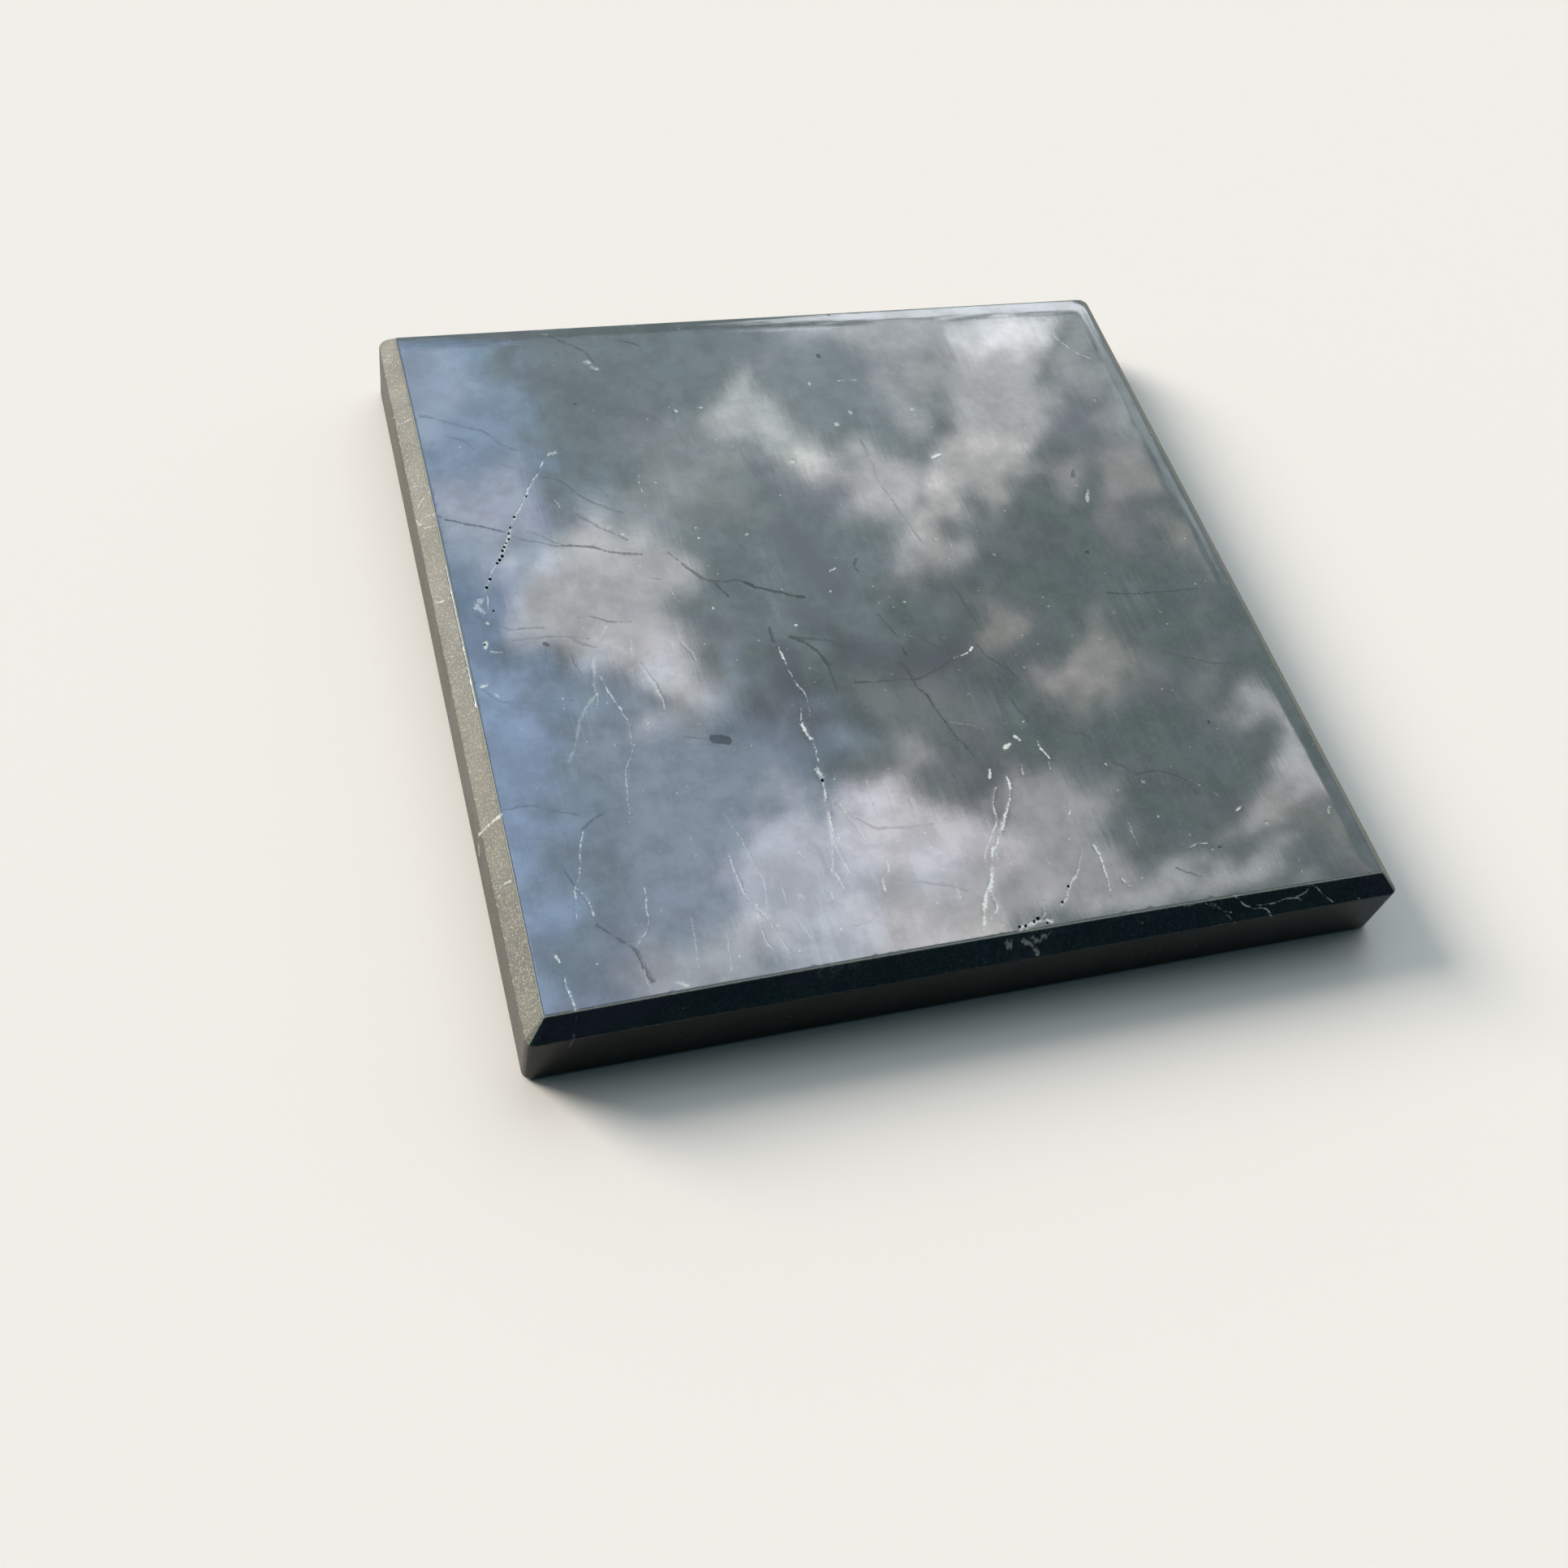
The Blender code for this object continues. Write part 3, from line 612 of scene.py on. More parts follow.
WOBBLE_START = 0.5                       # full from this far outside the face
NICK_LUMP, NICK_SPECK = 0.8, 0.3         # nicks come in lumps with smaller ones in them
NICK_START, NICK_REACH = 0.30, 0.3       # only the noise's peaks, this near the edge
NICK_DROP, NICK_IN = 0.07, 0.06
PALE_SUNK, DARK_SUNK = 0.0015, 0.0006    # veins and cracks polish a hair lower than the stone
TOUCH = 0.001                            # near enough to count as on a plane


def mark_layers(u, v):
    """How strong each kind of mark is at each place, and how deep the pits are."""
    # Marks wander a little, so their places are read through a slow noise.
    flat = np.stack([u, v, np.zeros(len(u))], 1)
    wander_u = WANDER * noise_at(flat, WANDER_LUMP, 1) + FRAY * noise_at(flat, FRAY_LUMP, 3)
    wander_v = WANDER * noise_at(flat, WANDER_LUMP, 2)
    mu, mv = u + wander_u, v + wander_v
    layers = {}
    layers["pale_vein"], layers["pale_strength"] = mark_field(mu, mv, PALE)
    crack, crack_strength = mark_field(mu, mv, DARK)
    # The second, fainter strand of each crack.
    side_u = (u + STRAND_WANDER * noise_at(flat, STRAND_LUMP, 5)
              + STRAND_FRAY * noise_at(flat, STRAND_FRAY_LUMP, 7))
    side_v = v + STRAND_WANDER * noise_at(flat, STRAND_LUMP, 6)
    strand, strand_strength = mark_field(side_u, side_v, DARK)
    strand = strand * STRAND_SHARE
    besides = strand > crack
    layers["dark_vein"] = np.where(besides, strand, crack)
    layers["dark_strength"] = np.where(besides, strand_strength * STRAND_STRENGTH, crack_strength)
    layers["inclusion"] = mark_field(mu, mv, INCLUSIONS)[0]
    veil, veil_strength = mark_field(mu, mv, [(VEIL_SPREAD * w, s, p) for w, s, p in VEILS])
    layers["veil"] = veil * veil_strength
    stain, stain_strength = mark_field(mu, mv, STAINS)
    layers["stain"] = stain * stain_strength
    depth_of = np.zeros(len(u))
    # Each pit's layer covers the hole and a little round it; the finish paints it near-black there as painted
    # shade.
    layers["pit_and_painted_shade"] = np.zeros(len(u))
    for px, py, radius, depth in PITS:
        d = np.hypot(u - px, (v - py) * PIT_STRETCH) / radius
        depth_of = np.maximum(depth_of, depth * np.sqrt(np.clip(1 - d ** 2, 0, 1)))
        layers["pit_and_painted_shade"] = np.maximum(layers["pit_and_painted_shade"], np.clip(PIT_RIM - d, 0, 1))
    return layers, depth_of


def grind_and_polish(slab):
    """Moves the vertices as the grinding wheel and the wear did, and keeps what the finish needs."""
    mesh = slab.data
    co = vertex_places(mesh)
    u, v = unfold(co)
    x, y, z = (co / MM).T
    thick, drop = TOP / MM, CHAMFER / MM
    fx, fy = FACE_X / MM, FACE_Y / MM
    on_top = z > thick - TOUCH
    under = z < TOUCH
    layers, depth_of = mark_layers(u, v)
    for name in layers:
        layers[name][under] = 0.0

    # How near each place is to an edge of the slab: 1 on the edge, 0 from 1 mm away.
    out = np.maximum(np.abs(x) - fx, np.abs(y) - fy)
    top_edge = np.hypot(out, z - thick)
    low_edge = np.hypot(out - drop, z - (thick - drop)) + LESS_WORN_LOW
    hip = np.abs((np.abs(x) - fx) - (np.abs(y) - fy)) / sqrt(2)
    hip = hip + np.where(on_top | (z < thick - drop - 0.1), FAR, 0)
    foot = np.where(under, FAR, np.hypot(out - drop, z) + LESS_WORN_FOOT)
    nearest = np.minimum.reduce([top_edge, low_edge, hip, foot])
    # The finish reads this for the dulled rim, and for the pale line along the edges, which is partly wear
    # and partly painted highlight.
    layers["edge"] = np.clip(1 - nearest / WEAR_AND_HIGHLIGHT_REACH, 0, 1)

    # Corners: nearly sharp on the face, rounded down the sides, most of all at the back left.
    down = np.clip((thick - z) / drop, 0, 1)
    radius = FACE_CORNER + (CORNER_EASING / MM - FACE_CORNER) * down
    back_left = FACE_CORNER_BACK_LEFT + (BACK_LEFT_EASING / MM - FACE_CORNER_BACK_LEFT) * down
    radius = np.where((x < 0) & (y > 0), back_left, radius)
    half = np.where(on_top, fx - EDGE_GAP / MM, np.maximum(np.abs(x), np.abs(y)))
    x, y = round_corner(x, y, half - radius)

    # The hand-held edges bow in along the front and the left.
    bow = FRONT_BOW / MM
    high = np.clip((z - (thick - drop)) / drop, 0, 1)
    fade_y = np.clip((-y - (fy - BOW_FADE)) / BOW_FADE, 0, 1) ** 2
    fade_x = np.clip((-x - (fx - BOW_FADE)) / BOW_FADE, 0, 1) ** 2
    y = y + bow * high * fade_y * (1 - (x / fx) ** 2).clip(0, 1)
    x = x + LEFT_BOW * bow * high * fade_x * (1 - (y / fy) ** 2).clip(0, 1)

    # The polish rolls off at the back and right edges.
    back_band, right_band = ROLL_BACK / MM, ROLL_RIGHT / MM
    t_back = np.clip((v - (fy - back_band)) / back_band, 0, 1)
    t_right = np.clip((u - (fx - right_band)) / right_band, 0, 1)
    z = z - ROLL_SLOPE * (back_band * t_back ** 2 + right_band * t_right ** 2) * high

    # The ground flats' slow wobble, always inwards.
    xyz = np.stack([x, y, z], 1)
    slow = 0.5 + 0.5 * noise_at(xyz * (1, 1, 2), SLOW_LUMP, 11)
    fine = 0.5 + 0.5 * noise_at(xyz, FINE_LUMP, 12)
    inward = np.where(on_top | under, 0, SLOW_WOBBLE * slow + FINE_WOBBLE * fine)
    inward = inward * np.clip(out / WOBBLE_START, 0, 1)
    scale = 1 - inward / np.maximum(np.maximum(np.abs(x), np.abs(y)), 1)
    x, y = x * scale, y * scale

    # Nicks along the dulled edges.
    nick = noise_at(xyz, NICK_LUMP, 13) * 0.7 + noise_at(xyz, NICK_SPECK, 14) * 0.5
    nick = np.clip(nick - NICK_START, 0, 1) * np.clip(1 - top_edge / NICK_REACH, 0, 1)
    z = z - NICK_DROP * nick
    side = HALF_LENGTH / MM
    x, y = x * (1 - NICK_IN * nick / side), y * (1 - NICK_IN * nick / side)

    # Veins and cracks lie lower than the stone, and pits are deep: down on the face, in at the sides.
    pale_low = PALE_SUNK * np.clip(layers["pale_vein"] * 1.6 - 0.4, 0, 1) * layers["pale_strength"]
    dark_low = DARK_SUNK * np.clip(layers["dark_vein"] * 1.8 - 0.6, 0, 1) * layers["dark_strength"]
    z = z - (pale_low + dark_low + depth_of) * on_top
    shrink = 1 - (dark_low + depth_of * 0.7) * ~(on_top | under) / side
    x, y = x * shrink, y * shrink

    co = np.stack([x, y, np.clip(z, 0, thick)], 1) * MM
    co[:, 0] = np.clip(co[:, 0], -HALF_LENGTH, HALF_LENGTH)
    co[:, 1] = np.clip(co[:, 1], -HALF_WIDTH, HALF_WIDTH)
    mesh.vertices.foreach_set("co", co.ravel())
    for name, values in layers.items():
        layer = mesh.attributes.new(name, "FLOAT", "POINT")
        layer.data.foreach_set("value", values.astype(np.float32))
    return u, v


# The slab's surfaces, and where each lies in its map.
FACE, LEFT, RIGHT, FRONT, BACK, UNDERSIDE = range(6)
SIDE = 10                        # added to the number of a zone below its chamfer
MAP_SCALE = 0.80 / 96.0          # of the map's width for each millimetre of the face
MAP_MARGIN = 0.005
FIRST_STRIP, SECOND_STRIP = 0.815, 0.912
ALONG_SCALE = 0.96 * MAP_SCALE   # the strips are 100 mm long, a little more than the face
UNDER_START, UNDER_SCALE = 0.82, 0.0017
LIP = 0.06                       # a face whose middle is this near the edge, in millimetres, is past it
STRIP_REACH = 11.5               # the width of a strip in millimetres: chamfer and side


def lay_out_map(slab, u, v):
    """Gives the slab a map with its face large, its four edges in strips, its underside small, and
    gives back each face's zone."""
    mesh = slab.data
    vertex_of = np.zeros(len(mesh.loops), np.int32)
    mesh.loops.foreach_get("vertex_index", vertex_of)
    centres, corners = face_centres(mesh)
    cx, cy, cz = centres.T / MM
    fx, fy = FACE_X / MM, FACE_Y / MM
    half_x, half_y = HALF_LENGTH / MM, HALF_WIDTH / MM
    out_x, out_y = np.abs(cx) - fx, np.abs(cy) - fy
    end = (out_x > -LIP) & (out_x >= out_y)
    front = out_y > -LIP
    surfaces = (FACE, LEFT, RIGHT, FRONT, BACK, UNDERSIDE)
    zone = np.select([cz < 0.003, end & (cx < 0), end, front & (cy < 0), front],
                     [UNDERSIDE, LEFT, RIGHT, FRONT, BACK], FACE)
    where = np.repeat(zone, corners)
    u, v = u[vertex_of], v[vertex_of]
    x, y, z = vertex_places(mesh)[vertex_of].T / MM
    reach = np.maximum(np.abs(u) - fx, np.abs(v) - fy).clip(-0.1, STRIP_REACH) * MAP_SCALE
    along_x = MAP_MARGIN + (x.clip(-half_x, half_x) + half_x) * ALONG_SCALE
    along_y = MAP_MARGIN + (y.clip(-half_y, half_y) + half_y) * ALONG_SCALE
    shown = [where == surface for surface in surfaces]
    map_u = np.select(shown, [MAP_MARGIN + (u + fx) * MAP_SCALE, FIRST_STRIP + reach,
                              SECOND_STRIP + reach, along_x, along_x,
                              UNDER_START + (x + half_x) * UNDER_SCALE])
    map_v = np.select(shown, [MAP_MARGIN + (v + fy) * MAP_SCALE, along_y, along_y,
                              FIRST_STRIP + reach, SECOND_STRIP + reach,
                              UNDER_START + (y + half_y) * UNDER_SCALE])
    layer = mesh.uv_layers.new(name="OFBake")
    layer.data.foreach_set("uv", np.stack([map_u, map_v], 1).astype(np.float32).ravel())
    below = cz < (TOP - CHAMFER) / MM
    return np.where(below & (zone != UNDERSIDE), zone + SIDE, zone)


# --------------------------------------------------------------------------------------------
# Finishes
# --------------------------------------------------------------------------------------------


SOFT_STEP = {"interpolation_type": "SMOOTHSTEP"}     # 0 below From Min, 1 above From Max
COLOUR_MIX = {"data_type": "RGBA", "out": 2}


def stone(name, tones, smooth, stipple, streaks, ior, veins=1.0, shine=0.5, specks=0.6):
    """The black stone with its veins; smooth is its roughness, stipple and streaks its texture."""
    material = bpy.data.materials.new(name)
    material.use_nodes = True
    tree = material.node_tree
    tree.nodes.clear()
    place = add(tree, "TexCoord", out="Object")
    mm = add(tree, "VectorMath", {0: place, "Scale": 1000.0}, operation="SCALE")

    # Cloudy patches of bluish, greenish and purplish black, 11 mm across, and in them grains
    # of 0.05 mm, drawn at 0.22 mm so that they show.
    patches = add(tree, "TexNoise", {"Vector": mm, "Scale": 1 / 11.0, "Detail": 4.0})
    grain = add(tree, "TexNoise", {"Vector": mm, "Scale": 1 / 0.22, "Detail": 1.0})
    colour = linear(tones[0])
    for pattern, low, high, paint in ((patches, 0.38, 0.50, tones[1]), (patches, 0.52, 0.62, tones[2]),
                                      (grain, 0.48, 0.74, tones[3])):
        cover = add(tree, "MapRange", {0: pattern, 1: low, 2: high}, **SOFT_STEP)
        colour = add(tree, "Mix", {0: cover, 6: colour, 7: linear(paint)}, **COLOUR_MIX)

    # Polishing left streaks from front to back: broad ones 0.7 mm wide, and scratches of 0.15 mm.
    # They show most where the wheel dwelt, in areas some 20 mm across.
    dwelt = add(tree, "TexNoise", {"Vector": mm, "Scale": 1 / 20.0, "Detail": 2.0})
    dwelt = add(tree, "MapRange", {0: dwelt, 1: 0.38, 2: 0.62, 3: 0.25}, **SOFT_STEP)
    strokes = []                 # one for each: its turn, how many to the mm, how many mm long, ...
    for turn, across, length, detail, uneven, low, high in (
            (0.10, 1.4, 9.0, 4.0, 0.65, 0.48, 0.75), (-0.06, 6.5, 4.0, 1.0, 0.50, 0.56, 0.80)):
        along = add(tree, "Mapping", {0: mm, "Rotation": (0, 0, turn),
                                      "Scale": (across, 1 / length, across)})
        stroke = add(tree, "TexNoise", {"Vector": along, "Scale": 1.0, "Detail": detail,
                                        "Roughness": uneven})
        shown = add(tree, "MapRange", {0: stroke, 1: low, 2: high}, **SOFT_STEP)
        strokes.append((stroke, add(tree, "Math", {0: shown, 1: dwelt}, operation="MULTIPLY")))
    (streak, smear), (_, scored) = strokes

    # Ragged edges for the veins, in lumps of 0.3 mm and 1.2 mm.
    ragged = add(tree, "TexNoise", {"Vector": mm, "Scale": 1 / 0.30, "Detail": 2.0})
    broken = add(tree, "TexNoise", {"Vector": mm, "Scale": 1 / 1.2, "Detail": 2.0})
    lumpy = add(tree, "Math", {0: ragged, 1: broken}, operation="ADD")
    lumpy = add(tree, "Math", {0: lumpy, 1: 0.9, 2: -0.9}, operation="MULTIPLY_ADD")

    # A crack is a thin black core in a wider grey shade; a vein is crust of uneven thickness.
    covers = []
    for kind, low, high in (("dark", 0.25, 0.72), ("dark", 0.46, 0.78), ("pale", 0.56, 0.92)):
        ridge = add(tree, "Attribute", out="Fac", attribute_name=kind + "_vein")
        strength = add(tree, "Attribute", out="Fac", attribute_name=kind + "_strength")
        ridge = add(tree, "Math", {0: ridge, 1: lumpy}, operation="ADD")
        cover = add(tree, "MapRange", {0: ridge, 1: low, 2: high}, **SOFT_STEP)
        covers.append(add(tree, "Math", {0: cover, 1: strength}, operation="MULTIPLY"))
    shade, core, crust = covers
    core = add(tree, "Math", {0: core, 1: 0.65}, operation="MULTIPLY")
    dark = add(tree, "Math", {0: shade, 1: 0.35, 2: core}, operation="MULTIPLY_ADD")
    whole = add(tree, "MapRange", {0: broken, 1: 0.15, 2: 0.60}, **SOFT_STEP)
    pale = add(tree, "Math", {0: crust, 1: whole}, operation="MULTIPLY")
    pale = add(tree, "Math", {0: pale, 1: veins}, operation="MULTIPLY", use_clamp=True)

    # Flat inclusions, pits with their painted shade, rims, worn edges with a painted highlight, and stains,
    # each from its attribute with some noise.
    masks = []
    for layer, lumps, share, low, high in (
            ("inclusion", ragged, 0.12, 0.52, 0.60), ("pit_and_painted_shade", ragged, 0.0, 0.45, 0.75),
            ("edge", ragged, 0.10, 0.84, 0.97), ("edge", ragged, 0.10, 0.92, 1.01),
            ("stain", broken, 0.50, 0.35, 0.80)):
        mask = add(tree, "Attribute", out="Fac", attribute_name=layer)
        mask = add(tree, "Math", {0: lumps, 1: share, 2: mask}, operation="MULTIPLY_ADD")
        masks.append(add(tree, "MapRange", {0: mask, 1: low, 2: high}, **SOFT_STEP))
    spot, pit_and_painted_shade, rim, worn_edge_highlight, stain = masks
    # Veils under the polish drift in streaks.
    veil = add(tree, "Attribute", out="Fac", attribute_name="veil")
    drifts = add(tree, "MapRange", {0: streak, 1: 0.35, 2: 0.70}, **SOFT_STEP)
    veil = add(tree, "Math", {0: veil, 1: drifts}, operation="MULTIPLY")

    # Pale specks of 0.1 mm to 0.2 mm, about one in each 3 mm square.
    speck = add(tree, "TexVoronoi", {"Vector": mm, "Scale": 1 / 1.6})
    lucky = add(tree, "SeparateColor", {0: speck.node.outputs["Color"]})
    lucky = add(tree, "MapRange", {0: lucky, 1: 0.55, 2: 1.0}, **SOFT_STEP)
    speck = add(tree, "MapRange", {0: speck, 1: 0.12, 2: 0.04}, **SOFT_STEP)
    speck = add(tree, "Math", {0: speck, 1: lucky}, operation="MULTIPLY")

    # The near-black paint in the pits is painted shade.
    # The pale paint along the edges is partly wear and partly a painted highlight.
    for cover, share, paint in (
            (smear, 0.16, tones[4]), (scored, 0.18, tones[4]), (stain, 0.70, tones[2]),
            (veil, 0.45, "#7E8688"), (speck, specks, "#8E9493"), (dark, 1.0, "#050607"),
            (spot, 1.0, "#14171A"), (pale, 1.0, "#ACACA4"), (worn_edge_highlight, 0.75, "#85867F"),
            (pit_and_painted_shade, 1.0, "#030303")):
        cover = add(tree, "Math", {0: cover, 1: share}, operation="MULTIPLY")
        colour = add(tree, "Mix", {0: cover, 6: colour, 7: linear(paint)}, **COLOUR_MIX)
    rough = smooth
    for cover, more in ((streak, streaks), (dark, 0.06), (pale, 0.30), (rim, 0.50), (pit_and_painted_shade, 0.60)):
        rough = add(tree, "Math", {0: cover, 1: more, 2: rough}, operation="MULTIPLY_ADD")
    # An open crack or a pit gives back less light than the polish round it, and the polish
    # itself took unevenly, in lumps of 2 to 4 mm.
    mottle = add(tree, "TexNoise", {"Vector": mm, "Scale": 1 / 4.0, "Detail": 6.0, "Roughness": 0.6})
    mottle = add(tree, "MapRange", {0: mottle, 1: 0.35, 2: 0.65}, **SOFT_STEP)
    dull = 0.0
    for cover, share in ((mottle, 0.22), (stain, 0.24), (dark, 0.80), (pit_and_painted_shade, 0.90), (spot, 0.60), (rim, 0.80)):
        cover = add(tree, "Math", {0: cover, 1: share}, operation="MULTIPLY")
        dull = add(tree, "Math", {0: cover, 1: dull}, operation="MAXIMUM")
    gloss = add(tree, "Math", {0: dull, 1: -shine, 2: shine}, operation="MULTIPLY_ADD")

    # The ground surfaces are stippled by the grit, about 0.3 mm; the polished face only breathes.
    grit = add(tree, "TexNoise", {"Vector": mm, "Scale": 1 / 0.30, "Detail": 3.0})
    grit = add(tree, "Math", {0: grit, 1: stipple}, operation="MULTIPLY")
    height = add(tree, "Math", {0: streak, 1: 0.0012, 2: grit}, operation="MULTIPLY_ADD")
    bump = add(tree, "Bump", {"Strength": 1.0, "Distance": MM, "Height": height})
    shader = add(tree, "BsdfPrincipled", {"Base Color": colour, "Roughness": rough, "Normal": bump,
                                          "IOR": ior, "Specular IOR Level": shine})
    # The socket keeps the plain finish's own level, for a viewer that takes no pattern there.
    tree.links.new(gloss, shader.node.inputs["Specular IOR Level"])
    add(tree, "OutputMaterial", {"Surface": shader})
    return material


slab = make_slab()
place_u, place_v = grind_and_polish(slab)
zones = lay_out_map(slab, place_u, place_v)

# Polished carbon-rich slate: near-black and mirror-like, a brighter polish than granite takes.
polished = stone("polished_black_stone", ("#0F151A", "#101816", "#1E1824", "#272D30", "#4A5154"),
                 smooth=0.030, stipple=0.0003, streaks=0.045, ior=1.8, shine=0.56)
# The same stone as it left a grinding wheel: dry, brownish grey and stippled; on the chamfers its tone is
# painted lighter than the sides', as painted light.
ground = stone("ground_chamfer_stone_painted_lighter", ("#4E4840", "#534D43", "#5B5448", "#817966", "#6C6558"),
               smooth=0.50, stipple=0.024, streaks=0.10, ior=1.5, veins=1.5)
# The sides below it: the same ground stone, a little rougher, and painted darker than the chamfer as painted
# shade.
side_stone_painted_darker = stone("ground_side_stone_painted_darker", ("#3A3731", "#3F3B35", "#46413A", "#6A645A", "#56514A"),
               smooth=0.55, stipple=0.030, streaks=0.10, ior=1.5, veins=1.5)
# Sawn underside: dull dark grey with the saw's fine lines.
sawn = stone("sawn_dark_stone", ("#2B2C2D", "#303233", "#353435", "#3D3F40", "#454748"),
             smooth=0.55, stipple=0.015, streaks=0.15, ior=1.5)
# Its front and back sides below the chamfer: rubbed smooth but not buffed, so they stay dark.
rubbed = stone("rubbed_black_stone", ("#0E1110", "#0D120F", "#121013", "#1A1D1B", "#22262A"),
               smooth=0.20, stipple=0.002, streaks=0.10, ior=1.45, shine=0.18, specks=0.3)
# At the left and right, the chamfer and the side below it are lit and shaded copies of one ground stone.
finish_of = {FACE: polished, FRONT: polished, BACK: polished, LEFT: ground, RIGHT: ground,
             LEFT + SIDE: side_stone_painted_darker, RIGHT + SIDE: side_stone_painted_darker, FRONT + SIDE: rubbed, BACK + SIDE: rubbed,
             UNDERSIDE: sawn}
finishes = list(dict.fromkeys(finish_of.values()))
for finish in finishes:
    slab.data.materials.append(finish)
slots = np.zeros(len(zones), np.int32)
for zone, finish in finish_of.items():
    slots[zones == zone] = finishes.index(finish)
slab.data.polygons.foreach_set("material_index", slots)
deselect_all()
slab.select_set(True)
bpy.context.view_layer.objects.active = slab
bpy.ops.object.shade_smooth_by_angle(angle=radians(32))
slab.modifiers.new("even_faces", "WEIGHTED_NORMAL").keep_sharp = True
bpy.ops.object.modifier_apply(modifier="even_faces")

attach(slab, "root")
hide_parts("stone_slab")

# --------------------------------------------------------------------------------------------
# Floor
# --------------------------------------------------------------------------------------------
deselect_all()
bpy.ops.mesh.primitive_plane_add(size=6.0, location=(0, 0, 0))
floor = bpy.context.object
floor.name = "pale_floor"
paper = bpy.data.materials.new("matt_pale_paper")      # seamless studio paper, no shine
paper.use_nodes = True
paper_shader = paper.node_tree.nodes["Principled BSDF"]
paper_shader.inputs["Base Color"].default_value = linear("#D4CAC3")
paper_shader.inputs["Roughness"].default_value = 0.9
paper_shader.inputs["Specular IOR Level"].default_value = 0.1
floor.data.materials.append(paper)

# --------------------------------------------------------------------------------------------
# Light: a soft bright ceiling behind the slab, broken into mild patches, and dim in front
# --------------------------------------------------------------------------------------------
CEILING_BASE = (1.02, 1.25, 1.27)
FRONT_LIGHT = (0.014, 0.042, 0.058)
FRONT_TO_BACK = (-0.20, 0.28)    # how far back a direction leans where one turns to the other
LOWEST = 0.12                    # directions nearer the horizon than this share its light
CLOUD_SCALE, CLOUD_BEND = 16.0, 0.18
WISP_SCALE, WISP_SPREAD, WISP_SHIFT = 36.0, 1.45, -0.72
PATCH_EDGE = (1.08, 0.80)        # a patch fades in between these shares of its size
BACKDROP = (0.86, 0.86, 0.86)    # what stands behind the slab to the eye
# Each soft patch is placed by the spot of the face that mirrors it, in millimetres:
# (x, y, half width, half length, turn in degrees, colour)
LIGHT_PATCHES = (
    # the blue side, at the left
    (-58, 0, 21, 95, -8, (0.66, 1.06, 1.95)), (-46, 42, 8, 12, 0, (0.8, 0.8, 0.8)),
    (-38, -34, 34, 30, 0, (0.84, 1.08, 1.6)), (-42, 19, 3, 7, 0, (1.2, 0.9, 0.8)),
    (-41, 8, 5, 8, 0, (0.95, 0.9, 0.8)), (-29, -28, 9, 18, 0, (0.45, 0.48, 0.6)),
    (-14, 26, 36, 36.5, 0, (0.5, 0.62, 0.74)), (-37, 46, 6, 5, 0, (0.3, 0.5, 0.7)),
    # the broad warm one at the back left, and a faint one beside it
    (-31, 3, 10, 14, 8, (2.75, 2.5, 2.45)), (-26, 15, 7, 7, 0, (0.85, 0.85, 0.88)),
    (-27, -9, 6, 7, 0, (1.1, 1, 1)), (-15, 25, 8, 7, 0, (0.75, 0.7, 0.72)), (-21, -3, 4, 5, 0, (1, 1, 1)),
    (-28, 20, 5, 4, 0, (0.2, 0.4, 0.6)), (-14, 17, 7, 5, 0, (0.5, 0.45, 0.35)),
    # an arm from the back middle
    (-5, 29, 5, 7, 12, (2.7, 2.7, 2.5)), (3, 21, 9, 4, -31, (2.9, 2.65, 2.55)),
    (13, 40, 3, 4, 0, (2.1, 1.9, 1.85)), (14, 29, 3, 4, -30, (1.9, 1.75, 1.75)),
    (8, 13, 7, 4, -20, (1.25, 1.1, 1.05)), (7, 34, 8, 9, 0, (0.4, 0.4, 0.45)),
    # the long band from the back right corner to the middle
    (31, 32, 6, 15, -31, (2.55, 2.45, 2.45)), (21, 19, 10, 6, 25, (2.6, 2.4, 2.3)),
    (12, 8, 4.5, 10, -30, (2.35, 2.1, 2)), (33.5, 43.5, 9.5, 6, 12, (4.5, 4.5, 4.7)),
    (16, 46, 15, 6, 0, (2.45, 2.45, 2.6)), (4, 48, 9, 6, 0, (1.6, 1.6, 1.65)),
    (45, 32, 4, 10, 0, (1.8, 1.8, 1.85)), (46, 77, 42, 27, 0, (4.4, 4.5, 4.8)),
    (62, 34, 12, 34, 0, (1, 1.05, 1.15)), (21, 35, 4.5, 6, -20, (1.75, 1.65, 1.65)),
    (37, 25, 5, 8, 0, (0.5, 0.52, 0.62)),
    # small ones along the right
    (32, 15, 2.5, 3.5, 0, (1.6, 1.4, 1.35)), (42, 15, 3, 5, 0, (1.6, 1.4, 1.35)),
    (39, 6, 4, 2.5, -20, (0.75, 0.65, 0.6)), (45, 2, 2.5, 7, -5, (1.65, 1.45, 1.35)),
    (15.5, -5.5, 5, 3, -20, (1.6, 1.35, 1.2)), (25, -13, 5.5, 3.5, 20, (1.45, 1.25, 1.15)),
    (21, -17, 2.5, 5, -10, (1.1, 0.95, 0.9)), (30, -15, 4, 2.5, -30, (0.5, 0.45, 0.4)),
    (41, -20, 2.5, 6, 20, (0.6, 0.5, 0.5)), (45, -28, 3.8, 8, 0, (3, 2.9, 2.9)),
    (39, -36, 6, 2.5, 8, (2.4, 2.2, 2.15)), (44, -41, 2, 6, 25, (0.8, 0.7, 0.6)),
    # the strip along the front edge, and the large one at the front
    (26, -44, 13, 3, 3, (2.6, 2.5, 2.5)), (-9, -40, 17, 13, 0, (2.9, 2.7, 2.85)),
    (-5, -31, 9, 6, 0, (1.9, 1.7, 1.8)), (12, -36, 8, 10, 0, (2.2, 2.05, 2.05)),
    (-30, -46, 8, 7, 0, (1.6, 1.4, 1.15)), (-6, -46, 9, 4, 0, (1.25, 1.1, 0.9)),
    (0, -19, 9, 8, 0, (0.5, 0.45, 0.4)),
)

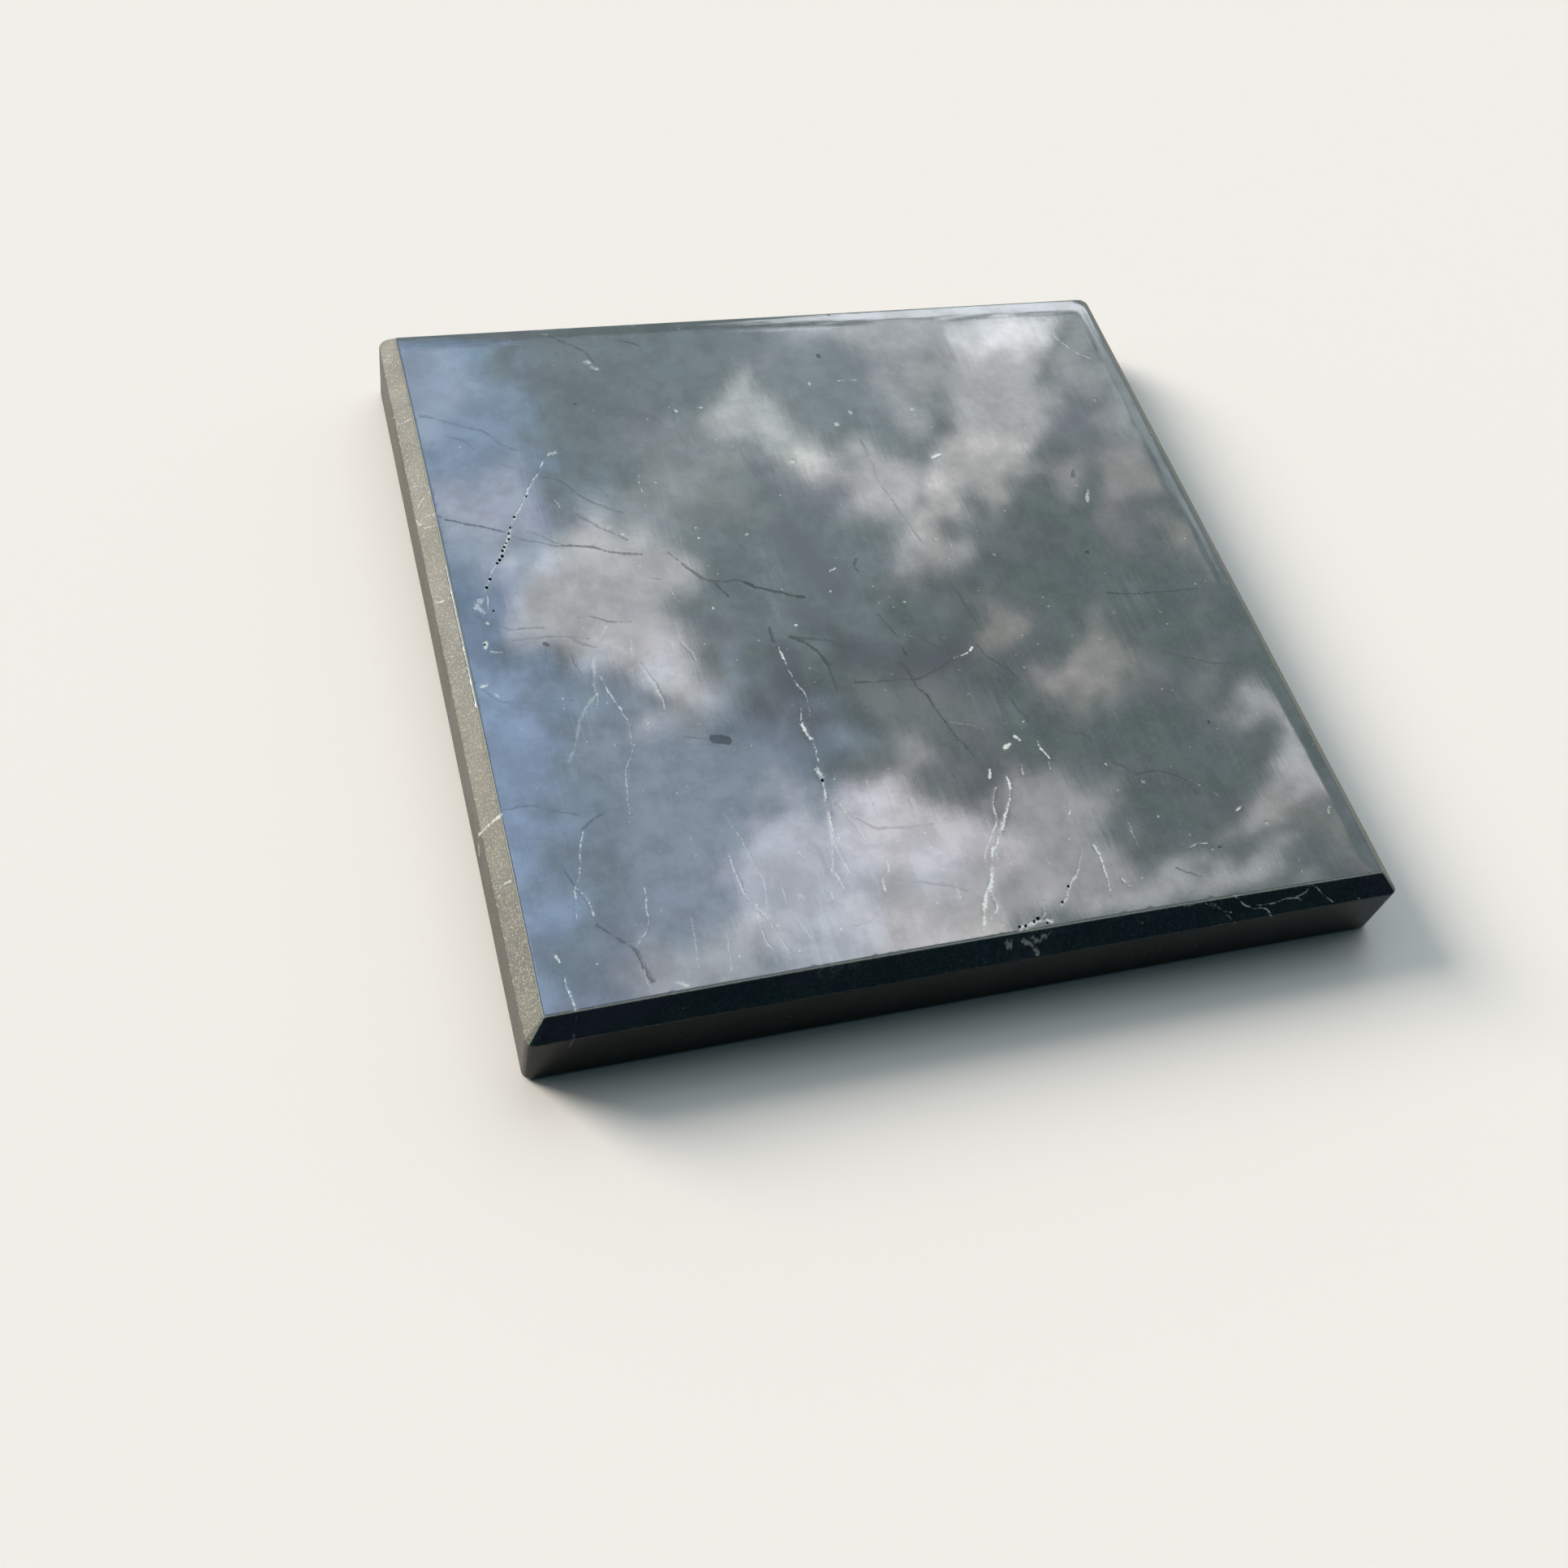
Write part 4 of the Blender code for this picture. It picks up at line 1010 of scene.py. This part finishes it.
world = bpy.data.worlds.new("studio")
bpy.context.scene.world = world
world.use_nodes = True
sky = world.node_tree
sky.nodes.clear()
direction = add(sky, "TexCoord", out="Generated")
across, away, up = add(sky, "SeparateXYZ", {0: direction}).node.outputs
up = add(sky, "Math", {0: up, 1: LOWEST}, operation="MAXIMUM")
flat_x = add(sky, "Math", {0: across, 1: up}, operation="DIVIDE")
flat_y = add(sky, "Math", {0: away, 1: up}, operation="DIVIDE")
flat_sky = add(sky, "CombineXYZ", {0: flat_x, 1: flat_y})
lumps = add(sky, "TexNoise", {"Vector": flat_sky, "Scale": CLOUD_SCALE, "Detail": 6.0}, out="Color")
lumps = add(sky, "VectorMath", {0: lumps, 1: (0.5, 0.5, 0.5)}, operation="SUBTRACT")
wavy = add(sky, "VectorMath", {0: lumps, 1: (CLOUD_BEND, CLOUD_BEND, 0.0), 2: flat_sky},
           operation="MULTIPLY_ADD")
wisps = add(sky, "TexNoise", {"Vector": flat_sky, "Scale": WISP_SCALE, "Detail": 6.0, "Roughness": 0.6})
wisps = add(sky, "Math", {0: wisps, 1: WISP_SPREAD, 2: WISP_SHIFT}, operation="MULTIPLY_ADD")
behind = add(sky, "MapRange", {0: away, 1: FRONT_TO_BACK[0], 2: FRONT_TO_BACK[1]}, **SOFT_STEP)
light = add(sky, "Mix", {0: behind, 6: FRONT_LIGHT + (1,), 7: CEILING_BASE + (1,)}, **COLOUR_MIX)
camera_height = camera.location.z - TOP
for px, py, half_wide, half_long, turn, shade in LIGHT_PATCHES:
    centre = ((px * MM - camera.location.x) / camera_height,
              (py * MM - camera.location.y) / camera_height, 0)
    size = (half_wide * MM / camera_height, half_long * MM / camera_height, 1)
    local = add(sky, "Mapping", {0: wavy, "Location": centre, "Rotation": (0, 0, radians(turn)),
                                 "Scale": size}, vector_type="TEXTURE")
    far = add(sky, "VectorMath", {0: local}, out="Value", operation="LENGTH")
    far = add(sky, "Math", {0: far, 1: wisps}, operation="ADD")
    lit = add(sky, "MapRange", {0: far, 1: PATCH_EDGE[0], 2: PATCH_EDGE[1]}, **SOFT_STEP)
    light = add(sky, "Mix", {0: lit, 6: light, 7: shade + (1,)}, blend_type="ADD", **COLOUR_MIX)
seen = add(sky, "LightPath", out="Is Camera Ray")
light = add(sky, "Mix", {0: seen, 6: light, 7: BACKDROP + (1,)}, **COLOUR_MIX)
background = add(sky, "Background", {"Color": light, "Strength": 1.0})
add(sky, "OutputWorld", {"Surface": background})

# One wide soft lamp, far off to the left and behind, lights the ground chamfer and side.
KEY_FROM = Vector((-0.68, 0.58, 0.46))
deselect_all()
bpy.ops.object.light_add(type="SUN", location=KEY_FROM)
key = bpy.context.object
key.name = "key_light"
key.data.angle = radians(25)
key.data.energy = 5.0
key.data.color = (1.0, 0.97, 0.92)
key.rotation_mode = "QUATERNION"
key.rotation_quaternion = (-KEY_FROM).to_track_quat("-Z", "Y")

bpy.context.scene.view_settings.view_transform = "Standard"
